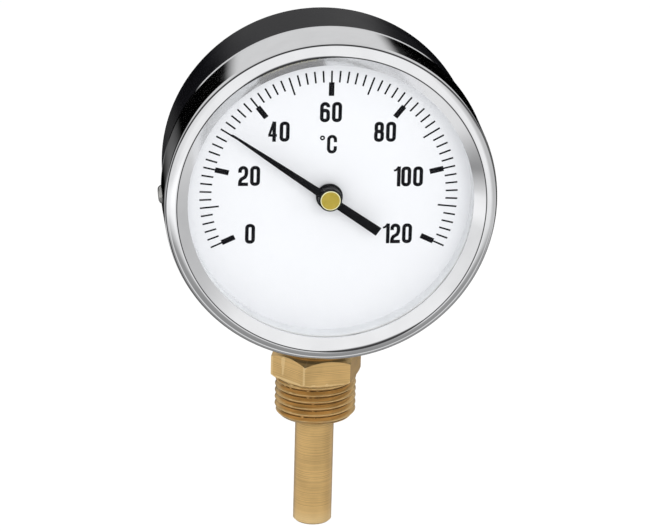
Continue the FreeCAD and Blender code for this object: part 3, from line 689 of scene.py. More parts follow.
@dataclass(frozen=True)
class BlackEnamel:
    """Glossy black stoved enamel with a faint orange peel."""

    name: str = "case_black"
    colour: Colour = (0.004, 0.004, 0.005)
    roughness: Point = (0.14, 0.24)
    shine: float = 0.03
    cloud_waves: float = 70.0
    factors: Point = (1.0, 2.2)
    factor_range: Point = (0.35, 0.75)
    peel_waves: float = 420.0
    peel_height: float = 10.0 * MICRON
    dust_waves: float = 2600.0
    dust_height: float = 1.0 * MICRON

    def build(self) -> bpy.types.Material:
        """Makes the material.

        Returns:
            The enamel.
        """
        board = Board(self.name)
        cloud = board.noise(self.cloud_waves, 4.0)
        dust = board.noise(self.dust_waves, 1.0)
        peel = board.noise(self.peel_waves, 1.5)
        board.tone(cloud, self.colour, self.factors, self.factor_range)
        board.roughen(cloud, self.roughness)
        board.set(Specular_IOR_Level=self.shine)
        board.relief((peel, self.peel_height), (dust, self.dust_height))
        return board.material


@dataclass(frozen=True)
class DialEnamel:
    """Matt white enamel on the dial plate."""

    name: str = "dial_white"
    colour: Colour = (0.752, 0.752, 0.770)
    roughness: Point = (0.45, 0.6)
    cloud_waves: float = 45.0
    factors: Point = (0.985, 1.0)
    grain_waves: float = 5200.0
    grain_height: float = 2.5 * MICRON
    wave_waves: float = 600.0
    wave_height: float = 3.0 * MICRON

    def build(self) -> bpy.types.Material:
        """Makes the material.

        Returns:
            The enamel.
        """
        board = Board(self.name)
        cloud = board.noise(self.cloud_waves, 5.0)
        grain = board.noise(self.grain_waves, 2.0)
        wave = board.noise(self.wave_waves, 2.0)
        board.tone(cloud, self.colour, self.factors)
        board.roughen(cloud, self.roughness)
        board.relief((grain, self.grain_height), (wave, self.wave_height))
        return board.material


@dataclass(frozen=True)
class Ink:
    """Screen-printed black ink, very slightly uneven."""

    name: str = "dial_print"
    colour: Colour = (0.003, 0.003, 0.004)
    factors: Point = (1.0, 2.6)
    factor_range: Point = (0.3, 0.8)
    roughness: Point = (0.6, 0.8)
    shine: float = 0.08
    grain_waves: float = 2500.0
    grain_height: float = 2.0 * MICRON

    def build(self) -> bpy.types.Material:
        """Makes the material.

        Returns:
            The ink.
        """
        board = Board(self.name)
        grain = board.noise(self.grain_waves, 3.0)
        board.tone(grain, self.colour, self.factors, self.factor_range)
        board.roughen(grain, self.roughness)
        board.set(Specular_IOR_Level=self.shine)
        board.relief((grain, self.grain_height))
        return board.material


@dataclass(frozen=True)
class Brass:
    """Turned brass: lines round the axis, painted shade in the hollows, and edges paler partly from wear
    and partly from a painted highlight.
    """

    name: str
    about: Turn = Turn.STEM
    dial_height: float = 0.0
    colour: Colour = (0.64, 0.42, 0.170)
    factors: tuple[float, float, float] = (0.72, 1.0, 1.20)
    factor_range: tuple[float, float, float] = (0.36, 0.5, 0.64)
    # Painted shade: colour and pointiness range of the darkening painted into hollows and thread roots.
    painted_hollow_shade: Colour = (0.10, 0.062, 0.024)
    painted_hollow_shade_range: Point = (0.475, 0.498)
    # Edges and crests paler: partly wear, partly a painted highlight.
    wear_and_highlight: Colour = (0.88, 0.66, 0.34)
    wear_and_highlight_range: Point = (0.508, 0.54)
    wear_and_highlight_share: float = 0.5
    # Strength of both the painted hollow shade and the pale edges, which are partly wear and partly a
    # painted highlight.
    wear_and_painted_light: float = 1.0
    roughness: Point = (0.30, 0.42)
    roughness_range: Point = (0.35, 0.65)
    metal: float = 0.82
    lines_per_metre: float = 4200.0
    line_height: float = 7.0 * MICRON
    line_share: float = 0.6
    end_face: float = 0.3
    cloud_waves: float = 160.0
    speck_waves: float = 1500.0
    speck_height: float = 10.0 * MICRON
    ripple_waves: float = 300.0
    ripple_height: float = 6.0 * MICRON

    def turning_lines(self, board: Board) -> Socket:
        """Tool lines: along the axis on round faces, and across the radius on end faces.

        Args:
            board: The material's board.

        Returns:
            The lines' value, from 0 to 1.
        """
        normal = board.add("TexCoord").outputs["Normal"]
        end_on = board.math("ABSOLUTE", board.part_along(self.about, normal))
        on_end = board.math("GREATER_THAN", end_on, self.end_face)
        radius = board.math("MULTIPLY", board.radius(self.about, self.dial_height), on_end)
        across = board.math("ADD", board.part_along(self.about, board.place()), radius)
        return board.stripes(across, self.lines_per_metre, 3.0)

    def build(self) -> bpy.types.Material:
        """Makes the material.

        Returns:
            The brass.
        """
        board = Board(self.name)
        board.set(Metallic=self.metal)
        lines = self.turning_lines(board)
        cloud = board.noise(self.cloud_waves, 5.0)
        speck = board.noise(self.speck_waves, 2.0)
        ripple = board.noise(self.ripple_waves, 2.0)
        cloud_part = board.math("MULTIPLY", cloud, 1.0 - self.line_share)
        mixed = board.math("ADD", cloud_part, board.math("MULTIPLY", lines, self.line_share))
        shades = [brightened(self.colour, factor) for factor in self.factors]
        tint = board.ramp(mixed, zip(self.factor_range, shades))
        edge = board.add("NewGeometry").outputs["Pointiness"]
        # Painted shade: the colour darkens where pointiness is low, in hollows and thread roots.
        tint = board.cover(board.spread(edge, self.wear_and_painted_light, 0.0, *self.painted_hollow_shade_range), tint, self.painted_hollow_shade)
        # Pale edges: partly wear, partly a painted highlight on crests and edges.
        wear_and_highlight = board.spread(edge, 0.0, self.wear_and_highlight_share * self.wear_and_painted_light, *self.wear_and_highlight_range)
        board.link(board.cover(wear_and_highlight, tint, self.wear_and_highlight), board.shader.inputs["Base Color"])
        board.roughen(mixed, self.roughness, self.roughness_range)
        board.relief((lines, self.line_height), (speck, self.speck_height), (ripple, self.ripple_height))
        return board.material


@dataclass(frozen=True)
class DrawnSteel:
    """Bright steel with drawing lines along the piece, or zinc plate with a cloudy tone."""

    name: str
    grain: Grain = Grain.ALONG_Z
    colour: Colour = (0.50, 0.50, 0.51)
    roughness: Point = (0.22, 0.36)
    factors: Point = (0.85, 1.1)
    cloud_waves: float = 120.0
    hair_waves: float = 4200.0
    hair_height: float = 3.0 * MICRON

    def build(self) -> bpy.types.Material:
        """Makes the material.

        Returns:
            The steel.
        """
        board = Board(self.name)
        board.set(Metallic=1.0)
        hair = board.noise(self.hair_waves, 3.0, board.place(self.grain.value))
        board.tone(board.noise(self.cloud_waves, 4.0), self.colour, self.factors)
        board.roughen(hair, self.roughness)
        board.relief((hair, self.hair_height))
        return board.material


@dataclass(frozen=True)
class Moulded:
    """Moulded plastic, rubber or fibre: one tone with a fine grain."""

    name: str
    colour: Colour
    roughness: Point = (0.4, 0.55)
    grain_waves: float = 1800.0
    grain_height: float = 4.0 * MICRON
    cloud_waves: float = 180.0
    factors: Point = (0.9, 1.0)

    def build(self) -> bpy.types.Material:
        """Makes the material.

        Returns:
            The moulding's surface.
        """
        board = Board(self.name)
        grain = board.noise(self.grain_waves, 2.0)
        board.tone(board.noise(self.cloud_waves, 4.0), self.colour, self.factors)
        board.roughen(grain, self.roughness)
        board.relief((grain, self.grain_height))
        return board.material


@dataclass(frozen=True)
class WindowGlass:
    """Clear flat glass: see-through, with a reflection that grows towards its edge-on view."""

    name: str = "window"
    index: float = 1.14
    clear: Colour = (0.990, 0.994, 0.996)
    smear_waves: float = 35.0
    roughness: Point = (0.0, 0.035)

    def build(self) -> bpy.types.Material:
        """Makes the material, which reflects only where light comes in from the air.

        Returns:
            The glass.
        """
        board = Board(self.name)
        clear = board.add("BsdfTransparent")
        clear.inputs["Color"].default_value = (*self.clear, 1.0)
        gloss = board.add("BsdfGlossy")
        smear = board.noise(self.smear_waves, 5.0)
        board.link(board.spread(smear, *self.roughness), gloss.inputs["Roughness"])
        strength = board.add("Fresnel")
        strength.inputs["IOR"].default_value = self.index
        front = board.math("LESS_THAN", board.add("NewGeometry").outputs["Backfacing"], 0.5)
        blend = board.add("MixShader")
        board.link(board.math("MULTIPLY", strength.outputs[0], front), blend.inputs[0])
        board.link(clear.outputs[0], blend.inputs[1])
        board.link(gloss.outputs[0], blend.inputs[2])
        board.link(blend.outputs[0], board.output.inputs["Surface"])
        return board.material


@dataclass(frozen=True)
class HubBrass:
    """Dull yellow lacquered disc with a paler turned rim."""

    dial_height: float
    rim_radius: float
    name: str = "hub_brass"
    colour: Colour = (0.41, 0.32, 0.022)
    dark: float = 0.85
    warm: Colour = (0.48, 0.35, 0.05)
    warm_range: Point = (0.3, 0.72)
    rim: Colour = (0.80, 0.78, 0.48)
    rim_width: float = 0.25 * MM
    rim_blur: float = 0.08 * MM
    metal: float = 0.25
    roughness: Point = (0.42, 0.6)
    cloud_waves: float = 900.0
    lines_per_metre: float = 14000.0
    line_height: float = 2.0 * MICRON

    def build(self) -> bpy.types.Material:
        """Makes the material.

        Returns:
            The lacquered brass.
        """
        board = Board(self.name)
        radius = board.radius(Turn.DIAL, self.dial_height)
        cloud = board.noise(self.cloud_waves, 4.0)
        tint = board.ramp(cloud, zip(self.warm_range, (brightened(self.colour, self.dark), self.warm)))
        inner = self.rim_radius - self.rim_width
        on_rim = board.spread(radius, 0.0, 1.0, inner, inner + self.rim_blur)
        board.link(board.cover(on_rim, tint, self.rim), board.shader.inputs["Base Color"])
        board.roughen(cloud, self.roughness)
        board.set(Metallic=self.metal)
        board.relief((board.stripes(radius, self.lines_per_metre), self.line_height))
        return board.material


@dataclass(frozen=True)
class FloorPaper:
    """Plain pale paper for the studio floor."""

    name: str = "floor_paper"
    colour: Colour = (0.985, 0.985, 0.985)
    factors: Point = (0.99, 1.0)
    cloud_waves: float = 3.0
    roughness: float = 0.9

    def build(self) -> bpy.types.Material:
        """Makes the material.

        Returns:
            The paper.
        """
        board = Board(self.name)
        board.tone(board.noise(self.cloud_waves, 3.0), self.colour, self.factors)
        board.set(Roughness=self.roughness)
        return board.material


def dress(piece: bpy.types.Object, material: bpy.types.Material) -> None:
    """Gives a piece one finish in place of the one it came with."""
    piece.data.materials.clear()
    piece.data.materials.append(material)


# ---------------------------------------------------------------------------------------------
# Sub-assemblies
# ---------------------------------------------------------------------------------------------


@dataclass
class Bezel:
    """Chrome bezel: lip, slope, crest, rounded shoulder and a skirt with a rolled rear edge."""

    lip_radius: float = 35.6 * MM
    lip_round: float = 0.12 * MM
    lip_foot: float = 0.7 * MM
    slope_rise: float = 2.25 * MM
    shoulder: float = 3.0 * MM
    # Painted shade: the dark line painted on the shoulder lies this share of the shoulder's radius in from
    # the outside.
    shade_line_inset: float = 0.134
    crest_start: Point = (0.86, 0.012)
    crest_top: float = 1.04
    crest_back: float = 1.1
    wall: float = 1.4 * MM
    inner_round: float = 1.4 * MM
    inner_step: float = 0.9 * MM
    sheet: float = 0.8 * MM
    crest_radius: float = 0.22 * MM
    bead: float = 0.42 * MM
    rear_chamfer: float = 0.15 * MM
    groove_back: float = 3.2
    groove_depth: Point = (0.10 * MM, 0.12 * MM)
    groove_half: Point = (0.25 * MM, 0.3 * MM)

    def shade_line_radii(self) -> Point:
        """Finds where the chrome's painted shade lines lie: at the crest, where the sheet is folded, and
        on the shoulder.

        Returns:
            Radii of the crest and of the line on the shoulder.
        """
        low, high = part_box("bezel_ring")
        outer = (high.x - low.x) / 2
        return outer - self.shoulder, outer - self.shade_line_inset * self.shoulder

    def outline(self) -> list[Point]:
        """Draws the section.

        Returns:
            Closed outline as (radius, y), in metres.
        """
        low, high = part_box("bezel_ring")
        glass_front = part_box("window_glass")[0].y
        outer = (high.x - low.x) / 2
        crest, rear = low.y, high.y
        inner = outer - self.wall
        lip_front = crest + self.slope_rise
        turn = self.shoulder
        shoulder = arc((outer - turn, crest + turn), (turn, turn), 0, -82, 16)
        crest_line = rounded([
            (outer - turn * self.crest_start[0], crest + turn * self.crest_start[1], 0.0),
            (outer - turn * self.crest_top, crest, self.crest_radius),
            (self.lip_radius, lip_front, self.lip_round),
            (self.lip_radius, glass_front, 0.0),
            (self.lip_radius + self.lip_foot, glass_front, 0.0),
            (outer - turn * self.crest_back, crest + self.sheet, 0.0),
            (inner - self.inner_step, crest + self.sheet, 0.0),
        ], 5)
        bend = self.inner_round
        inner_corner = arc((inner - bend, crest + self.sheet + bend), (bend, bend), -70, 0, 8)
        rear_inside = [(inner, rear - self.rear_chamfer), (inner + self.rear_chamfer, rear)]
        rolled = arc((outer - self.bead, rear - self.bead), (self.bead, self.bead), 90, 0, 8)
        groove_y = rear - self.groove_back * self.bead
        neck = [
            (outer - self.groove_depth[0], groove_y + self.groove_half[0]),
            (outer - self.groove_depth[1], groove_y),
            (outer, groove_y - self.groove_half[1]),
        ]
        return [*inner_corner, *rear_inside, *rolled, *neck, *shoulder, *crest_line]

    def build(self, finish: bpy.types.Material) -> bpy.types.Object:
        """Makes the bezel.

        Args:
            finish: Its chrome.

        Returns:
            The piece, in place of the plain ring.
        """
        low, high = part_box("bezel_ring")
        piece = lathe("bezel", self.outline(), Turn.DIAL, (low + high) / 2, 360)
        shade(piece, 33.0)
        dress(piece, finish)
        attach(piece, "head")
        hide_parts("bezel_ring")
        return piece


@dataclass
class Case:
    """Black case: a cup with a rounded back and a turned-in front edge, and its two side screws."""

    wall: float = 0.8 * MM
    back_round: float = 3.0 * MM
    front_round: float = 0.3 * MM
    edge_round: float = 0.1 * MM
    ledge: float = 4.0 * MM
    spigot_hole: float = 5.1 * MM
    screw_hole: float = 1.6 * MM
    screw_drop: float = 5.0
    screw_length: float = 5.0 * MM
    screw_radius: float = 1.45 * MM
    head_radius: float = 2.4 * MM
    head_height: float = 2.0 * MM
    dome: float = 0.55
    slot: float = 0.6 * MM
    slot_eased: float = 0.06 * MM
    drill_start: float = 1.0 * MM
    drill_depth: float = 3.0 * MM

    def centre(self) -> Vector:
        """Middle of the case."""
        low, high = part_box("case_shell")
        return (low + high) / 2

    def radius(self) -> float:
        """Outer radius of the case."""
        low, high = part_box("case_shell")
        return (high.x - low.x) / 2

    def screw_axes(self) -> list[tuple[Vector, Vector]]:
        """Finds the axes of the side screws.

        Returns:
            For each screw, a point on the dial's axis and the outward direction.
        """
        low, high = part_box("case_side_screws")
        start = self.centre()
        start.y = (low.y + high.y) / 2
        drop = math.radians(self.screw_drop)
        return [(start, Vector((side * math.cos(drop), 0, -math.sin(drop)))) for side in (1, -1)]

    def build_shell(self, finish: bpy.types.Material) -> bpy.types.Object:
        """Makes the case.

        Args:
            finish: Its black enamel.

        Returns:
            The piece, in place of the plain shell.
        """
        low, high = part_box("case_shell")
        radius = self.radius()
        inner = radius - self.wall
        outline = rounded([
            (0, high.y, 0), (radius, high.y, self.back_round), (radius, low.y, self.front_round),
            (radius - self.ledge, low.y, self.edge_round), (radius - self.ledge, low.y + self.wall, 0),
            (inner, low.y + self.wall, 0), (inner, high.y - self.wall, self.back_round - self.wall),
            (0, high.y - self.wall, 0),
        ], 10)
        piece = lathe("case", outline, Turn.DIAL, self.centre(), 256)
        under = Vector((0, 0, low.z - self.drill_start))
        drill(piece, self.spigot_hole, under, Vector((0, 0, 1)), self.drill_depth)
        for start, way in self.screw_axes():
            mouth = start + way * (radius + self.drill_start)
            drill(piece, self.screw_hole, mouth, -way, self.drill_depth)
        shade(piece, 33.0)
        dress(piece, finish)
        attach(piece, "head")
        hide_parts("case_shell")
        return piece

    def build_screws(self, finish: bpy.types.Material) -> bpy.types.Object:
        """Makes the two slotted side screws.

        Args:
            finish: Their nickel plate.

        Returns:
            Both screws as one piece, in place of the plain ones.
        """
        radius = self.radius()
        end = radius + self.head_height
        outline = rounded([
            (0, radius - self.screw_length, 0),
            (self.screw_radius, radius - self.screw_length, self.edge_round),
            (self.screw_radius, radius, 0), (self.head_radius, radius, self.edge_round),
            (self.head_radius, end, self.head_height * self.dome), (0, end, 0),
        ], 8)
        board = bmesh.new()
        for start, way in self.screw_axes():
            screw = lathe("side_screw", outline, Turn.STEM, Vector((0, 0, 0)), 96)
            mesh = bpy.data.meshes.new("slot")
            cutter = bmesh.new()
            size = Matrix.Diagonal((4 * self.head_radius, self.slot, self.head_height, 1.0))
            bmesh.ops.create_cube(cutter, matrix=Matrix.Translation((0, 0, end)) @ size)
            cutter.to_mesh(mesh)
            cutter.free()
            carve(screw, new_object("slot", mesh))
            lean = math.radians(90 + self.screw_drop)
            turned = Matrix.Rotation(math.copysign(lean, way.x), 4, "Y")
            screw.data.transform(Matrix.Translation(start) @ turned)
            board.from_mesh(screw.data)
            bpy.data.objects.remove(screw)
        both = bpy.data.meshes.new("side_screws")
        board.to_mesh(both)
        board.free()
        piece = new_object("side_screws", both)
        ease_edges(piece, self.slot_eased, 50.0)
        shade(piece, 35.0)
        dress(piece, finish)
        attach(piece, "head")
        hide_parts("case_side_screws")
        return piece


@dataclass
class Pocket:
    """Brass pocket: tube, pipe thread, hexagon and collar, as one turned and milled surface."""

    bore: float = 4.0 * MM
    end_wall: float = 1.5 * MM
    tube: float = 5.0 * MM
    tip_chamfer: float = 0.5 * MM
    thread_radius: float = 10.4775 * MM
    thread_pitch: float = 1.8143 * MM
    thread_depth: float = 1.162 * MM
    thread_length: float = 11.0 * MM
    thread_fade: float = 0.7 * MM
    thread_start: float = 0.25 * MM
    thread_straight: float = 0.45
    root_step: float = 0.25 * MM
    tube_rows: int = 9
    tube_top: float = 0.35 * MM
    across_flats: float = 21.0 * MM
    hex_height: float = 6.8 * MM
    hex_turn: float = 11.0
    seat_radius: float = 11.4 * MM
    seat_drop: float = 0.4 * MM
    top_inset: float = 0.4 * MM
    top_drop: float = 1.4 * MM
    collar: float = 8.5 * MM
    collar_chamfer: float = 0.5 * MM
    screw_hole: float = 1.5 * MM
    flat_rows: tuple[float, ...] = (0.05, 0.11, 0.5, 0.89, 0.95)
    eased: float = 0.13 * MM
    columns: int = 216
    rows_per_pitch: int = 30

    def flat_radius(self, angle: float) -> float:
        """Distance from the axis to the hexagon's flats.

        Args:
            angle: Degrees from the front.

        Returns:
            The distance in metres.
        """
        half = self.across_flats / 2
        off = (angle - self.hex_turn + 30) % 60 - 30
        return half / math.cos(math.radians(off))

    def thread_surface(self, angle: float, z: float) -> float:
        """Radius of the right-hand thread.

        Args:
            angle: Degrees round the axis, counted anticlockwise from above.
            z: Height, zero at the sealing shoulder and negative below it.

        Returns:
            The radius at that point.
        """
        phase = (z / self.thread_pitch - angle / 360) % 1.0
        ramp = abs(phase - 0.5) * 2
        eased = 0.5 - 0.5 * math.cos(math.pi * ramp)
        cut = self.thread_straight * ramp + (1.0 - self.thread_straight) * eased
        fade = min(1.0, max(0.0, (-z - self.thread_start) / self.thread_fade))
        end = self.thread_radius - max(0.0, self.thread_depth - (z + self.thread_length))
        return min(self.thread_radius - self.thread_depth * cut * fade, end)

    def rows(self, tip: float, top: float) -> list[Callable[[float], Point]]:
        """Rows of the surface from the tip, up the outside, over the collar and down the bore.

        Args:
            tip: Height of the tube's tip.
            top: Height of the collar's top.

        Returns:
            For each row, a function from the angle in degrees to (radius, height).
        """
        corner = self.across_flats / math.sqrt(3)
        circle = self.across_flats / 2 - self.top_inset
        root = self.thread_radius - self.thread_depth

        def ring(radius: float, z: float) -> Callable[[float], Point]:
            """A plain circle."""
            return lambda angle: (radius, z)

        def thread(z: float) -> Callable[[float], Point]:
            """One row of the thread."""
            return lambda angle: (self.thread_surface(angle, z), z)

        def seat(angle: float) -> Point:
            """Outer edge of the flat sealing face."""
            return min(self.seat_radius, self.flat_radius(angle)), 0.0

        def low_edge(angle: float) -> Point:
            """Lower edge of the flats.

            Args:
                angle: Degrees from the front.

            Returns:
                Radius and height of the edge.
            """
            radius = self.flat_radius(angle)
            over = max(0.0, radius - self.seat_radius) / (corner - self.seat_radius)
            return radius, over * self.seat_drop

        def high_edge(angle: float) -> Point:
            """Upper edge of the flats, an arc on each flat."""
            radius = self.flat_radius(angle)
            return radius, self.hex_height - (radius - circle) / (corner - circle) * self.top_drop

        def flat(share: float) -> Callable[[float], Point]:
            """A row on the flats.

            Args:
                share: How far up the row lies, from the lower edge at 0 to the upper one at 1.

            Returns:
                The row.
            """
            return lambda angle: (
                self.flat_radius(angle),
                low_edge(angle)[1] + (high_edge(angle)[1] - low_edge(angle)[1]) * share,
            )

        start = -self.thread_length
        foot = tip + self.tip_chamfer
        rows = [ring(0.0, tip), ring(self.tube - self.tip_chamfer, tip), ring(self.tube, foot)]
        for k in range(1, self.tube_rows):
            rows.append(ring(self.tube, foot + (start - foot) * k / self.tube_rows))
        rows += [ring(self.tube, start - self.tube_top), ring(self.tube, start)]
        rows.append(ring(root - self.root_step, start))
        count = round(self.thread_length / self.thread_pitch * self.rows_per_pitch)
        rows += [thread(start + self.thread_length * k / count) for k in range(count)]
        rows += [ring(self.thread_radius, 0.0), seat, low_edge]
        rows += [flat(share) for share in self.flat_rows]
        rows += [high_edge, ring(circle, self.hex_height)]
        rows += [ring(self.collar, self.hex_height), ring(self.collar, top - self.collar_chamfer)]
        rows += [ring(self.collar - self.collar_chamfer, top), ring(self.bore, top)]
        rows += [ring(self.bore, tip + self.end_wall), ring(0.0, tip + self.end_wall)]
        return rows

    def build(self, finish: bpy.types.Material) -> bpy.types.Object:
        """Makes the pocket.

        Args:
            finish: Its brass.

        Returns:
            The piece, in place of the plain pocket.
        """
        low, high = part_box("pocket")
        points: list[Vector] = []
        rows = self.rows(low.z, high.z)
        for row in rows:
            for k in range(self.columns):
                angle = self.hex_turn + 30 + 360 * k / self.columns
                radius, z = row(angle)
                turn = math.radians(angle)
                points.append(Vector((radius * math.sin(turn), -radius * math.cos(turn), z)))
        faces: list[tuple[int, ...]] = []
        for j in range(len(rows) - 1):
            for k in range(self.columns):
                after = (k + 1) % self.columns
                quad = (j * self.columns + k, j * self.columns + after,
                        (j + 1) * self.columns + after, (j + 1) * self.columns + k)
                faces.append(quad)
        piece = mesh_piece("pocket_body", points, faces)
        screw_low, screw_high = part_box("clamp_screw")
        mouth = Vector((0, self.collar * 1.5, (screw_low.z + screw_high.z) / 2))
        drill(piece, self.screw_hole, mouth, Vector((0, -1, 0)), self.collar * 1.1)
        collar_edge = high.z - self.collar_chamfer * 2.5
        ease_edges(piece, self.eased, 24.0, 3, (0.0, collar_edge))
        shade(piece, 40.0)
        dress(piece, finish)
        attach(piece, "pocket")
        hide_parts("pocket")
        return piece


@dataclass
class Pointer:
    """Pointer blade with its square tail, and the hub that carries it."""

    rest_angle: float = -55.4
    reach: float = 30.2 * MM
    tail: float = 14.9 * MM
    tip_width: float = 0.50 * MM
    middle_width: float = 1.42 * MM
    tip_end: float = 0.18
    root_width: float = 2.0 * MM
    root_flare: float = 0.05 * MM
    tail_width: float = 2.4 * MM
    collar: float = 2.9 * MM
    plate: float = 3.35 * MM
    plate_thickness: float = 0.7 * MM
    plate_gap: float = 1.7 * MM
    neck: float = 1.6 * MM
    bore: float = 0.75 * MM
    rim_step: float = 0.06 * MM
    rim_width: Point = (0.22 * MM, 0.30 * MM)
    fine_round: float = 0.03 * MM
    small_round: float = 0.1 * MM
    blade_eased: float = 0.07 * MM
    disc_round: float = 0.07 * MM
    cap_round: float = 0.14 * MM
    collar_round: float = 0.15 * MM
    plate_round: float = 0.18 * MM

    def blade_outline(self) -> list[Point]:
        """Draws the blade, pointing along the second axis.

        Returns:
            Its closed outline in metres, from the hub's axis.
        """
        half = self.root_width / 2
        join_high = math.sqrt(self.collar ** 2 - half ** 2)
        tail_half = self.tail_width / 2
        join_low = math.sqrt(self.collar ** 2 - (half + self.root_flare) ** 2)
        side = [(tail_half, -self.tail), (half + self.root_flare, -join_low)]
        start = math.degrees(math.atan2(-join_low, half))
        end = math.degrees(math.atan2(join_high, half))
        side += arc((0, 0), (self.collar, self.collar), start, end, 14)[1:-1]
        side += [(half, join_high), (self.middle_width / 2, self.reach / 2)]
        side.append((self.tip_width / 2, self.reach - self.tip_width))
        side.append((self.tip_width * self.tip_end, self.reach))
        return side + [(-a, b) for a, b in reversed(side)]

    def build_blade(self, finish: bpy.types.Material) -> bpy.types.Object:
        """Makes the blade.

        Args:
            finish: Its black enamel.

        Returns:
            The piece, in place of the plain pointer.
        """
        low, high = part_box("pointer")
        hub_low, hub_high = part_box("hub_disc")
        centre = (hub_low + hub_high) / 2
        turn = math.radians(self.rest_angle)

        def place(a: float, b: float, y: float) -> Vector:
            """Turns a point of the blade to its rest angle, clockwise from the top.

            Args:
                a: Place across the blade.
                b: Place along the blade.
                y: Its y in the frame.

            Returns:
                The point in the frame.
            """
            across = a * math.cos(turn) + b * math.sin(turn)
            up = b * math.cos(turn) - a * math.sin(turn)
            return Vector((centre.x + across, y, centre.z + up))

        piece = join("pointer_blade", [prism(self.blade_outline(), place, low.y, high.y)])
        ease_edges(piece, self.blade_eased, 60.0)
        shade(piece, 50.0)
        dress(piece, finish)
        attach(piece, "pointer")
        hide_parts("pointer")
        return piece

    def build_hub(self, finish: bpy.types.Material) -> bpy.types.Object:
        """Makes the black hub behind the blade.

        Args:
            finish: Its black plastic.

        Returns:
            The piece, in place of the plain hub.
        """
        low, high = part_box("pointer_hub")
        disc_low, disc_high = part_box("hub_disc")
        dial_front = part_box("dial_plate")[0].y
        plate_front = dial_front - self.plate_gap
        plate_back = plate_front + self.plate_thickness
        outline = rounded([
            (self.bore, low.y, 0), (self.collar, low.y, 0),
            (self.collar, plate_front, self.collar_round), (self.plate, plate_front, self.plate_round),
            (self.plate, plate_back, self.small_round), (self.neck, plate_back, 0),
            (self.neck, high.y, self.small_round), (self.bore, high.y, 0),
        ], 4)
        piece = lathe("hub_barrel", outline, Turn.DIAL, (disc_low + disc_high) / 2, 144)
        shade(piece, 35.0)
        dress(piece, finish)
        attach(piece, "pointer")
        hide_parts("pointer_hub")
        return piece

    def build_cap(self, black: bpy.types.Material, yellow: bpy.types.Material) -> list[bpy.types.Object]:
        """Makes the black cap in front of the blade and the disc set into it.

        Args:
            black: Finish of the cap.
            yellow: Finish of the disc.

        Returns:
            The cap and the disc.
        """
        low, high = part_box("hub_cap")
        disc_low, disc_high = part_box("hub_disc")
        centre = (disc_low + disc_high) / 2
        radius = (high.x - low.x) / 2
        disc = (disc_high.x - disc_low.x) / 2
        cap_line = rounded([
            (0, high.y, 0), (radius, high.y, 0), (radius, low.y, self.cap_round), (0, low.y, 0),
        ], 5)
        cap = lathe("hub_cap_ring", cap_line, Turn.DIAL, centre, 144)
        rim, sunk = self.rim_width, disc_low.y + self.rim_step
        disc_line = rounded([
            (0, disc_high.y, 0), (disc, disc_high.y, 0), (disc, disc_low.y, self.disc_round),
            (disc - rim[0], disc_low.y, self.fine_round), (disc - rim[1], sunk, self.fine_round),
            (0, sunk, 0),
        ], 4)
        face = lathe("hub_face", disc_line, Turn.DIAL, centre, 144)
        parts = ((cap, black, "hub_cap", "hub_black"), (face, yellow, "hub_disc", "hub_brass"))
        for piece, finish, node, slot in parts:
            shade(piece, 30.0)
            dress(piece, finish)
            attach(piece, "pointer")
            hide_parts(node)
        return [cap, face]


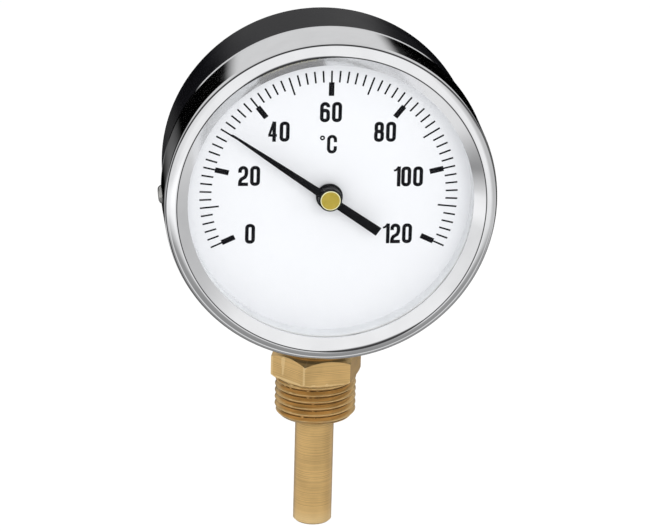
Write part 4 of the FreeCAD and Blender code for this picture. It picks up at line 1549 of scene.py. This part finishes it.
@dataclass
class Figures:
    """Condensed upright figures, drawn as strokes of even width."""

    width: float = 2.48 * MM
    height: float = 5.22 * MM
    stroke: float = 0.89 * MM
    gap: float = 0.50 * MM
    narrow: float = 1.36 * MM
    layer: float = 0.0015 * MM
    least_step: float = 0.004 * MM
    sharpest: float = 0.35
    corner_share: float = 0.86
    flag_stroke: float = 0.52 * MM
    slope_stroke: float = 0.62 * MM
    bar_stroke: float = 0.66 * MM
    stem_place: float = 0.40 * MM
    bar_height: float = 1.20 * MM
    lower_ring: float = 0.42 * MM
    waist: float = 0.10 * MM
    upper_slimmer: float = 0.07 * MM
    ring_size: float = 0.43 * MM
    ring_corner: float = 0.42 * MM
    ring_stroke: float = 0.40 * MM

    def loop(self, half: float, low: float, high: float, corner: float, steps: int = 10) -> list[Point]:
        """Closed rounded loop.

        Args:
            half: Half its width.
            low: Its lowest height.
            high: Its greatest height.
            corner: Radius of its corners.
            steps: Chords in a corner.

        Returns:
            The centre line's points.
        """
        size = (corner, corner)
        return [
            *arc((half - corner, high - corner), size, 0, 90, steps),
            *arc((corner - half, high - corner), size, 90, 180, steps),
            *arc((corner - half, low + corner), size, 180, 270, steps),
            *arc((half - corner, low + corner), size, 270, 360, steps),
        ]

    def strokes(self, sign: str) -> list[tuple[list[Point], bool, float]]:
        """Centre lines of one figure, about its own middle.

        Args:
            sign: A figure, C for the unit's letter, or o for the degree ring.

        Returns:
            For each stroke its points, whether it is closed, and its width.
        """
        a = (self.width - self.stroke) / 2
        h = (self.height - self.stroke) / 2
        s = self.stroke
        c = self.corner_share * a
        full = h + s / 2
        over_top = arc((0, h - a), (a, a), 180, 0, 16)
        if sign == "0":
            return [(self.loop(a, -h, h, c), True, s)]
        if sign == "1":
            stem = 0.42 * self.narrow
            flag = [(stem - 1.28 * MM, h - 0.62 * MM), (stem - 0.75 * MM, h - 0.50 * MM)]
            flag.append((stem, full - 0.06 * MM))
            return [([(stem, -full), (stem, full)], False, s), (flag, False, self.flag_stroke)]
        if sign == "2":
            sweep = [(a, h - 1.55 * MM), (a - 0.09 * MM, h - 1.95 * MM), (a - 0.34 * MM, h - 2.45 * MM)]
            sweep += [(0.34 * MM - a, 1.30 * MM - h), (0.10 * MM - a, 0.85 * MM - h)]
            sweep += [(-a, 0.35 * MM - h), (-a, -h), (a + s / 2, -h)]
            return [([(-a, h - 1.3 * MM), *over_top, *sweep], False, s)]
        if sign == "4":
            stem, bar = self.stem_place, self.bar_height - h
            slope = [(stem - 0.12 * MM, full), (-a - 0.02 * MM, bar)]
            return [
                ([(stem, -full), (stem, full)], False, s),
                (slope, False, self.slope_stroke),
                ([(-a - 0.26 * MM, bar), (a + 0.30 * MM, bar)], False, self.bar_stroke),
            ]
        if sign == "6":
            hook = [(a, h - a - 0.12 * MM), *reversed(over_top), (-a, 1.3 * MM - h)]
            return [(self.loop(a, -h, self.lower_ring, c), True, s), (hook, False, s)]
        if sign == "8":
            slim = a - self.upper_slimmer
            upper = self.loop(slim, self.waist, h, self.corner_share * slim)
            return [(self.loop(a, -h, self.waist, c), True, s), (upper, True, s)]
        if sign == "C":
            under = arc((0, a - h), (a, a), 180, 360, 16)
            top = [(a, h - 1.5 * MM), *reversed(over_top)]
            return [([*top, *under, (a, 1.5 * MM - h)], False, s)]
        ring = self.ring_size
        return [(self.loop(ring, -ring, ring, self.ring_corner), True, self.ring_stroke)]

    def ribbon(self, line: Sequence[Point], closed: bool, width: float) -> tuple[list[Point], list[Point]]:
        """Left and right edges of a stroke.

        Args:
            line: Its centre line.
            closed: Whether the line joins up.
            width: Its width.

        Returns:
            The two edges, point for point.
        """
        path = [Vector(line[0])]
        for step in line[1:]:
            if (Vector(step) - path[-1]).length > self.least_step:
                path.append(Vector(step))
        if closed and (path[0] - path[-1]).length < self.least_step:
            path.pop()
        left: list[Point] = []
        right: list[Point] = []
        count = len(path)
        for k, here in enumerate(path):
            ahead = path[(k + 1) % count] - here if closed or k < count - 1 else here - path[k - 1]
            behind = here - path[k - 1] if closed or k > 0 else ahead
            first, second = behind.normalized(), ahead.normalized()
            tangent = (first + second).normalized()
            normal = Vector((-tangent.y, tangent.x))
            reach = width / 2 / max(self.sharpest, normal.dot(Vector((-first.y, first.x))))
            left.append(tuple(here + normal * reach))
            right.append(tuple(here - normal * reach))
        return left, right

    def advance(self, sign: str) -> float:
        """Width that one figure takes."""
        return self.narrow if sign == "1" else self.width

    def solids(self, text: str, centre: Point, place: Callable[[float, float, float], Vector],
               back: float, front: float) -> list[Solid]:
        """Thin solids of a row of figures.

        Args:
            text: The figures.
            centre: Middle of the row, from the dial's axis.
            place: Turns (across, up, y) into a point of the frame.
            back: y of their back.
            front: y of their front.

        Returns:
            Points and faces of each stroke.
        """
        total = sum(self.advance(sign) for sign in text) + self.gap * (len(text) - 1)
        start = centre[0] - total / 2
        solids = []
        for sign in text:
            middle = start + self.advance(sign) / 2
            start += self.advance(sign) + self.gap
            for level, (line, closed, width) in enumerate(self.strokes(sign)):
                left, right = self.ribbon(line, closed, width)
                lift = front - level * self.layer
                count = len(left)
                points = []
                for y in (back, lift):
                    for edge in (left, right):
                        points += [place(middle + a, centre[1] + b, y) for a, b in edge]
                faces: list[tuple[int, ...]] = []
                for k in range(count if closed else count - 1):
                    n = (k + 1) % count
                    faces += [
                        (k, n, count + n, count + k),
                        (2 * count + k, 2 * count + n, 3 * count + n, 3 * count + k),
                        (k, n, 2 * count + n, 2 * count + k),
                        (count + k, count + n, 3 * count + n, 3 * count + k),
                    ]
                if not closed:
                    for k in (0, count - 1):
                        faces.append((k, count + k, 3 * count + k, 2 * count + k))
                solids.append((points, faces))
        return solids


@dataclass
class Dial:
    """Printing on the dial plate: scale marks, figures and the unit."""

    sweep: float = 230.0
    top_reading: int = 60
    last_reading: int = 120
    step: int = 2
    numbered: int = 20
    outer: float = 32.3 * MM
    small_length: float = 3.0 * MM
    long_length: float = 4.75 * MM
    line: float = 0.43 * MM
    block_length: float = 3.5 * MM
    block_width: float = 1.36 * MM
    ink: float = 0.02 * MM
    figures: Figures = field(default_factory=Figures)
    layout: tuple[tuple[str, float, float], ...] = (
        ("0", -19.5, -10.1), ("20", -20.0, 5.1), ("40", -12.9, 16.6), ("60", 0.0, 21.6),
        ("80", 13.6, 16.4), ("100", 19.8, 4.7), ("120", 17.5, -10.3),
    )
    letter: Figures = field(default_factory=lambda: Figures(height=4.85 * MM, stroke=0.80 * MM))
    letter_place: Point = (0.45, 13.25)
    ring_place: Point = (-1.95, 14.9)

    def place(self, across: float, up: float, y: float) -> Vector:
        """A point of the dial, counted from its axis."""
        low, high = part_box("dial_plate")
        return Vector(((low.x + high.x) / 2 + across, y, (low.z + high.z) / 2 + up))

    def ink_span(self) -> Point:
        """Finds where the ink lies on the plate.

        Returns:
            y of the ink's back, just inside the plate, and of its face.
        """
        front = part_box("dial_plate")[0].y
        return front + self.ink / 2, front - self.ink

    def bar(self, angle: float, inner: float, outer: float, width: float) -> Solid:
        """One radial mark.

        Args:
            angle: Degrees clockwise from the top.
            inner: Radius of its inner end.
            outer: Radius of its outer end.
            width: Its width.

        Returns:
            Points and faces of the mark.
        """
        way = math.radians(angle)

        def turned(a: float, b: float, y: float) -> Vector:
            """Turns a point of the mark to its reading.

            Args:
                a: Place across the mark.
                b: Distance from the dial's axis.
                y: Its y in the frame.

            Returns:
                The point in the frame.
            """
            across = a * math.cos(way) + b * math.sin(way)
            up = b * math.cos(way) - a * math.sin(way)
            return self.place(across, up, y)

        half = width / 2
        shape = [(half, inner), (half, outer), (-half, outer), (-half, inner)]
        return prism(shape, turned, *self.ink_span())

    def build_marks(self, finish: bpy.types.Material) -> bpy.types.Object:
        """Prints the scale's marks.

        Args:
            finish: The ink.

        Returns:
            The marks as one piece.
        """
        marks = []
        for reading in range(0, self.last_reading + 1, self.step):
            angle = (reading - self.top_reading) * self.sweep / self.last_reading
            inner = self.outer - self.small_length
            if reading % self.numbered == self.numbered // 2:
                inner = self.outer - self.long_length
            marks.append(self.bar(angle, inner, self.outer, self.line))
            if reading % self.numbered == 0:
                inner = self.outer - self.small_length
                marks.append(self.bar(angle, inner - self.block_length, inner, self.block_width))
        piece = join("scale_marks", marks)
        return self.finish_print(piece, finish)

    def build_figures(self, finish: bpy.types.Material) -> bpy.types.Object:
        """Prints the scale's figures.

        Args:
            finish: The ink.

        Returns:
            The figures as one piece.
        """
        back, face = self.ink_span()
        solids = []
        for text, across, up in self.layout:
            solids += self.figures.solids(text, (across * MM, up * MM), self.place, back, face)
        return self.finish_print(join("scale_figures", solids), finish)

    def build_unit(self, finish: bpy.types.Material) -> bpy.types.Object:
        """Prints the unit: a degree ring and its letter.

        Args:
            finish: The ink.

        Returns:
            The unit as one piece.
        """
        back, face = self.ink_span()
        solids = []
        for sign, (across, up) in (("C", self.letter_place), ("o", self.ring_place)):
            solids += self.letter.solids(sign, (across * MM, up * MM), self.place, back, face)
        return self.finish_print(join("unit_mark", solids), finish)

    def finish_print(self, piece: bpy.types.Object, finish: bpy.types.Material) -> bpy.types.Object:
        """Inks a printed piece and fixes it to the head.

        Args:
            piece: The printing.
            finish: The ink.

        Returns:
            The piece.
        """
        dress(piece, finish)
        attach(piece, "head")
        return piece


@dataclass
class Metalwork:
    """Finishes of the pieces that keep the frame's own shape."""

    dial_height: float

    def dress_all(self) -> dict[str, bpy.types.Material]:
        """Gives every node its finish.

        Returns:
            The finishes by the name of their slot.
        """
        axis = self.dial_height
        disc_low, disc_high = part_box("hub_disc")
        nickel, zinc, bronze = (0.42, 0.415, 0.40), (0.55, 0.56, 0.58), (0.52, 0.45, 0.34)
        black, blued = (0.003, 0.003, 0.004), (0.07, 0.07, 0.085)
        finishes = {
            "case_black": BlackEnamel().build(),
            # Chrome with painted shade lines at the bezel's crest and shoulder.
            "bezel_chrome": Chrome(axis, *Bezel().shade_line_radii()).build(),
            "window": WindowGlass().build(),
            "silicone": Moulded("silicone", (0.72, 0.72, 0.71)).build(),
            "spacer_white": Moulded("spacer_white", (0.80, 0.81, 0.825), (0.32, 0.45)).build(),
            "dial_white": DialEnamel().build(),
            "screw_nickel": DrawnSteel("screw_nickel", Grain.ALONG_X, nickel, (0.08, 0.16)).build(),
            "zinc_steel": DrawnSteel("zinc_steel", Grain.ALONG_X, zinc, (0.25, 0.4)).build(),
            # This brass gets no painted hollow shade, no wear and no painted highlight.
            "turned_brass": Brass("turned_brass", Turn.STEM, axis, (0.70, 0.50, 0.20), wear_and_painted_light=0.0).build(),
            "pocket_brass": Brass("pocket_brass", Turn.STEM, axis).build(),
            "stem_steel": DrawnSteel("stem_steel").build(),
            "bimetal": DrawnSteel("bimetal", Grain.ALONG_Z, bronze, (0.3, 0.45)).build(),
            "blued_steel": DrawnSteel("blued_steel", Grain.ALONG_Y, blued, (0.3, 0.45)).build(),
            "fibre": Moulded("fibre", (0.26, 0.075, 0.04), (0.6, 0.75), 3000.0, 8.0 * MICRON).build(),
            "seal_rubber": Moulded("seal_rubber", (0.02, 0.02, 0.02), (0.5, 0.65)).build(),
            "pointer_black": BlackEnamel("pointer_black", black, (0.38, 0.52), 0.06).build(),
            "hub_black": BlackEnamel("hub_black", black, (0.25, 0.4), 0.16).build(),
            "hub_brass": HubBrass(axis, (disc_high.x - disc_low.x) / 2).build(),
        }
        for row in frame["record"]["subparts"]:
            dress(frame["nodes"][row["node"]], finishes[row["material_slot"]])
        return finishes


@dataclass
class Studio:
    """Pale floor, a soft light tent, and the camera."""

    azimuth: float = -5.984
    elevation: float = 19.693
    roll: float = 1.503
    distance: float = 1.008
    lens: float = 222.85
    aim_across: float = -0.5 * MM
    aim_below_dial: float = 18.68 * MM
    floor_below: float = 120.0 * MM
    floor_size: float = 6.0
    even_strength: float = 1.0
    shine_strength: float = 0.95
    panel_power: float = 12.0
    panel_place: tuple[float, float, float] = (0.15, -1.6, 0.75)
    panel_size: Point = (1.4, 1.0)
    sensor_width: float = 36.0
    floor_tones: tuple[Point, ...] = (
        (-1.0, 0.30), (-0.85, 0.31), (-0.55, 0.36), (-0.42, 0.85), (-0.3, 1.0),
    )
    far_floor_tones: tuple[Point, ...] = ((-1.0, 0.90), (-0.6, 0.85), (-0.42, 0.92), (-0.3, 1.0))
    far_floor_start: tuple[Point, ...] = ((-0.22, 0.0), (-0.13, 1.0), (0.0, 1.0), (0.08, 0.0))
    glow_across: tuple[Point, ...] = ((-0.26, 1.0), (-0.12, 0.0))
    glow_up: tuple[Point, ...] = ((-0.24, 1.0), (-0.14, 0.0))
    glow_tone: float = 0.22
    horizon_start: tuple[Point, ...] = ((-0.42, 0.0), (-0.37, 1.0))
    horizon_tones: tuple[Point, ...] = ((0.5, 1.0), (0.75, 0.0))
    backdrop_start: tuple[Point, ...] = ((0.12, 0.0), (0.17, 1.0))
    ceiling_tones: tuple[Point, ...] = ((0.10, 1.0), (0.13, 0.2), (0.19, 0.2), (0.22, 0.72))
    side_tones: tuple[Point, ...] = ((-0.95, 0.85), (-0.7, 1.0), (0.75, 1.0), (0.95, 0.6))

    def build_floor(self) -> None:
        """Lays the floor below the pocket's tip."""
        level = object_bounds()[0].z - self.floor_below
        half = self.floor_size / 2
        mesh = bpy.data.meshes.new("floor")
        corners = [(-half, -half, level), (half, -half, level), (half, half, level), (-half, half, level)]
        mesh.from_pydata(corners, [], [(0, 1, 2, 3)])
        floor = new_object("floor", mesh)
        dress(floor, FloorPaper().build())
        floor.visible_glossy = False
        floor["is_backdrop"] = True

    def build_camera(self) -> None:
        """Sets the camera up in front of the dial and a little above it."""
        low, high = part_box("dial_plate")
        aim = Vector((self.aim_across, low.y, (low.z + high.z) / 2 - self.aim_below_dial))
        turn, rise, lean = (math.radians(v) for v in (self.azimuth, self.elevation, self.roll))
        back = Vector((math.sin(turn) * math.cos(rise), -math.cos(turn) * math.cos(rise), math.sin(rise)))
        level = (-back).cross(Vector((0, 0, 1))).normalized()
        upright = level.cross(-back)
        right = level * math.cos(lean) + upright * math.sin(lean)
        up = upright * math.cos(lean) - level * math.sin(lean)
        data = bpy.data.cameras.new("camera")
        data.lens = self.lens
        data.sensor_width = self.sensor_width
        data.clip_start, data.clip_end = 0.05, 20.0
        camera = bpy.data.objects.new("camera", data)
        turned = Matrix((right, up, back)).transposed().to_4x4()
        camera.matrix_world = Matrix.Translation(aim + back * self.distance) @ turned
        bpy.context.scene.collection.objects.link(camera)
        bpy.context.scene.camera = camera

    def build_panel(self) -> None:
        """Hangs a soft light panel that faces the dial and shows in no reflection."""
        data = bpy.data.lights.new("front_panel", "AREA")
        data.shape = "RECTANGLE"
        data.size, data.size_y = self.panel_size
        data.energy = self.panel_power
        lamp = bpy.data.objects.new("front_panel", data)
        lamp.location = self.panel_place
        low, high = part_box("dial_plate")
        aim = (low + high) / 2 - Vector(self.panel_place)
        lamp.rotation_euler = aim.to_track_quat("-Z", "Y").to_euler()
        lamp.visible_camera = False
        lamp.visible_glossy = False
        bpy.context.scene.collection.objects.link(lamp)

    def build_tent(self) -> None:
        """Lights the scene: an even white for most rays, and toned panels for what shines."""
        world = bpy.data.worlds.new("tent")
        world.use_nodes = True
        bpy.context.scene.world = world
        tree = world.node_tree
        where = tree.nodes.new("ShaderNodeTexCoord")
        parts = tree.nodes.new("ShaderNodeSeparateXYZ")
        tree.links.new(where.outputs["Generated"], parts.inputs[0])

        def ramp(way: str, stops: Iterable[Point]) -> Socket:
            """Grey value along one direction of the sky.

            Args:
                way: The direction, X, Y or Z.
                stops: Places from -1 to 1 with their greys.

            Returns:
                The grey's socket.
            """
            shift = tree.nodes.new("ShaderNodeMapRange")
            shift.inputs["From Min"].default_value = -1.0
            tree.links.new(parts.outputs[way], shift.inputs["Value"])
            node = tree.nodes.new("ShaderNodeValToRGB")
            fill_ramp(node, [((place + 1) / 2, (grey, grey, grey)) for place, grey in stops])
            tree.links.new(shift.outputs["Result"], node.inputs["Fac"])
            return node.outputs["Color"]

        def mix(kind: str, share: object, first: object, second: object) -> Socket:
            """Mixes two greys.

            Args:
                kind: How they mix.
                share: Share of the mix, a socket or a number.
                first: First grey, a socket or a number.
                second: Second grey, a socket or a number.

            Returns:
                The mixed grey's socket.
            """
            node = tree.nodes.new("ShaderNodeMix")
            node.data_type = "RGBA"
            node.blend_type = kind
            for slot, value in ((MIX_SHARE, share), (MIX_FIRST, first), (MIX_SECOND, second)):
                if isinstance(value, Socket):
                    tree.links.new(value, node.inputs[slot])
                elif slot == MIX_SHARE:
                    node.inputs[slot].default_value = value
                else:
                    node.inputs[slot].default_value = (value, value, value, 1.0)
            return node.outputs[MIX_RESULT]

        far_floor = ramp("Y", self.far_floor_start)
        floor = mix("MIX", far_floor, ramp("Z", self.floor_tones), ramp("Z", self.far_floor_tones))
        glow = mix("MULTIPLY", 1.0, ramp("X", self.glow_across), ramp("Z", self.glow_up))
        horizon = mix("ADD", glow, ramp("Y", self.horizon_tones), self.glow_tone)
        low = mix("MIX", ramp("Z", self.horizon_start), 1.0, horizon)
        high = mix("MIX", ramp("Z", self.backdrop_start), low, ramp("Y", self.ceiling_tones))
        shine = mix("MULTIPLY", 1.0, mix("MULTIPLY", 1.0, high, floor), ramp("X", self.side_tones))
        rays = tree.nodes.new("ShaderNodeLightPath")
        tent = tree.nodes["Background"]
        tent.inputs["Strength"].default_value = self.shine_strength
        tree.links.new(shine, tent.inputs["Color"])
        even = tree.nodes.new("ShaderNodeBackground")
        even.inputs["Color"].default_value = (1.0, 1.0, 1.0, 1.0)
        even.inputs["Strength"].default_value = self.even_strength
        choose = tree.nodes.new("ShaderNodeMixShader")
        tree.links.new(rays.outputs["Is Glossy Ray"], choose.inputs[0])
        tree.links.new(even.outputs[0], choose.inputs[1])
        tree.links.new(tent.outputs[0], choose.inputs[2])
        tree.links.new(choose.outputs[0], tree.nodes["World Output"].inputs["Surface"])


def main() -> None:
    """Builds the thermometer's looks, piece by piece, and reports each."""
    logging.basicConfig(level=logging.INFO, format="%(name)s: %(message)s")
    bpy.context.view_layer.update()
    bpy.context.scene.view_settings.view_transform = "Standard"
    studio = Studio()
    studio.build_camera()
    studio.build_floor()
    studio.build_tent()
    studio.build_panel()
    dial_low, dial_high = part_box("dial_plate")
    finishes = Metalwork((dial_low.z + dial_high.z) / 2).dress_all()
    LOG.info("dressed %d nodes", len(frame["nodes"]))
    case, dial, pointer = Case(), Dial(), Pointer()
    ink = Ink().build()
    pieces = [
        case.build_shell(finishes["case_black"]),
        case.build_screws(finishes["screw_nickel"]),
        Bezel().build(finishes["bezel_chrome"]),
        Pocket().build(finishes["pocket_brass"]),
        dial.build_marks(ink),
        dial.build_figures(ink),
        dial.build_unit(ink),
        pointer.build_blade(finishes["pointer_black"]),
        pointer.build_hub(finishes["hub_black"]),
        *pointer.build_cap(finishes["hub_black"], finishes["hub_brass"]),
    ]
    for piece in pieces:
        LOG.info("built %s with %d faces", piece.name, len(piece.data.polygons))


if __name__ == "__main__":
    main()
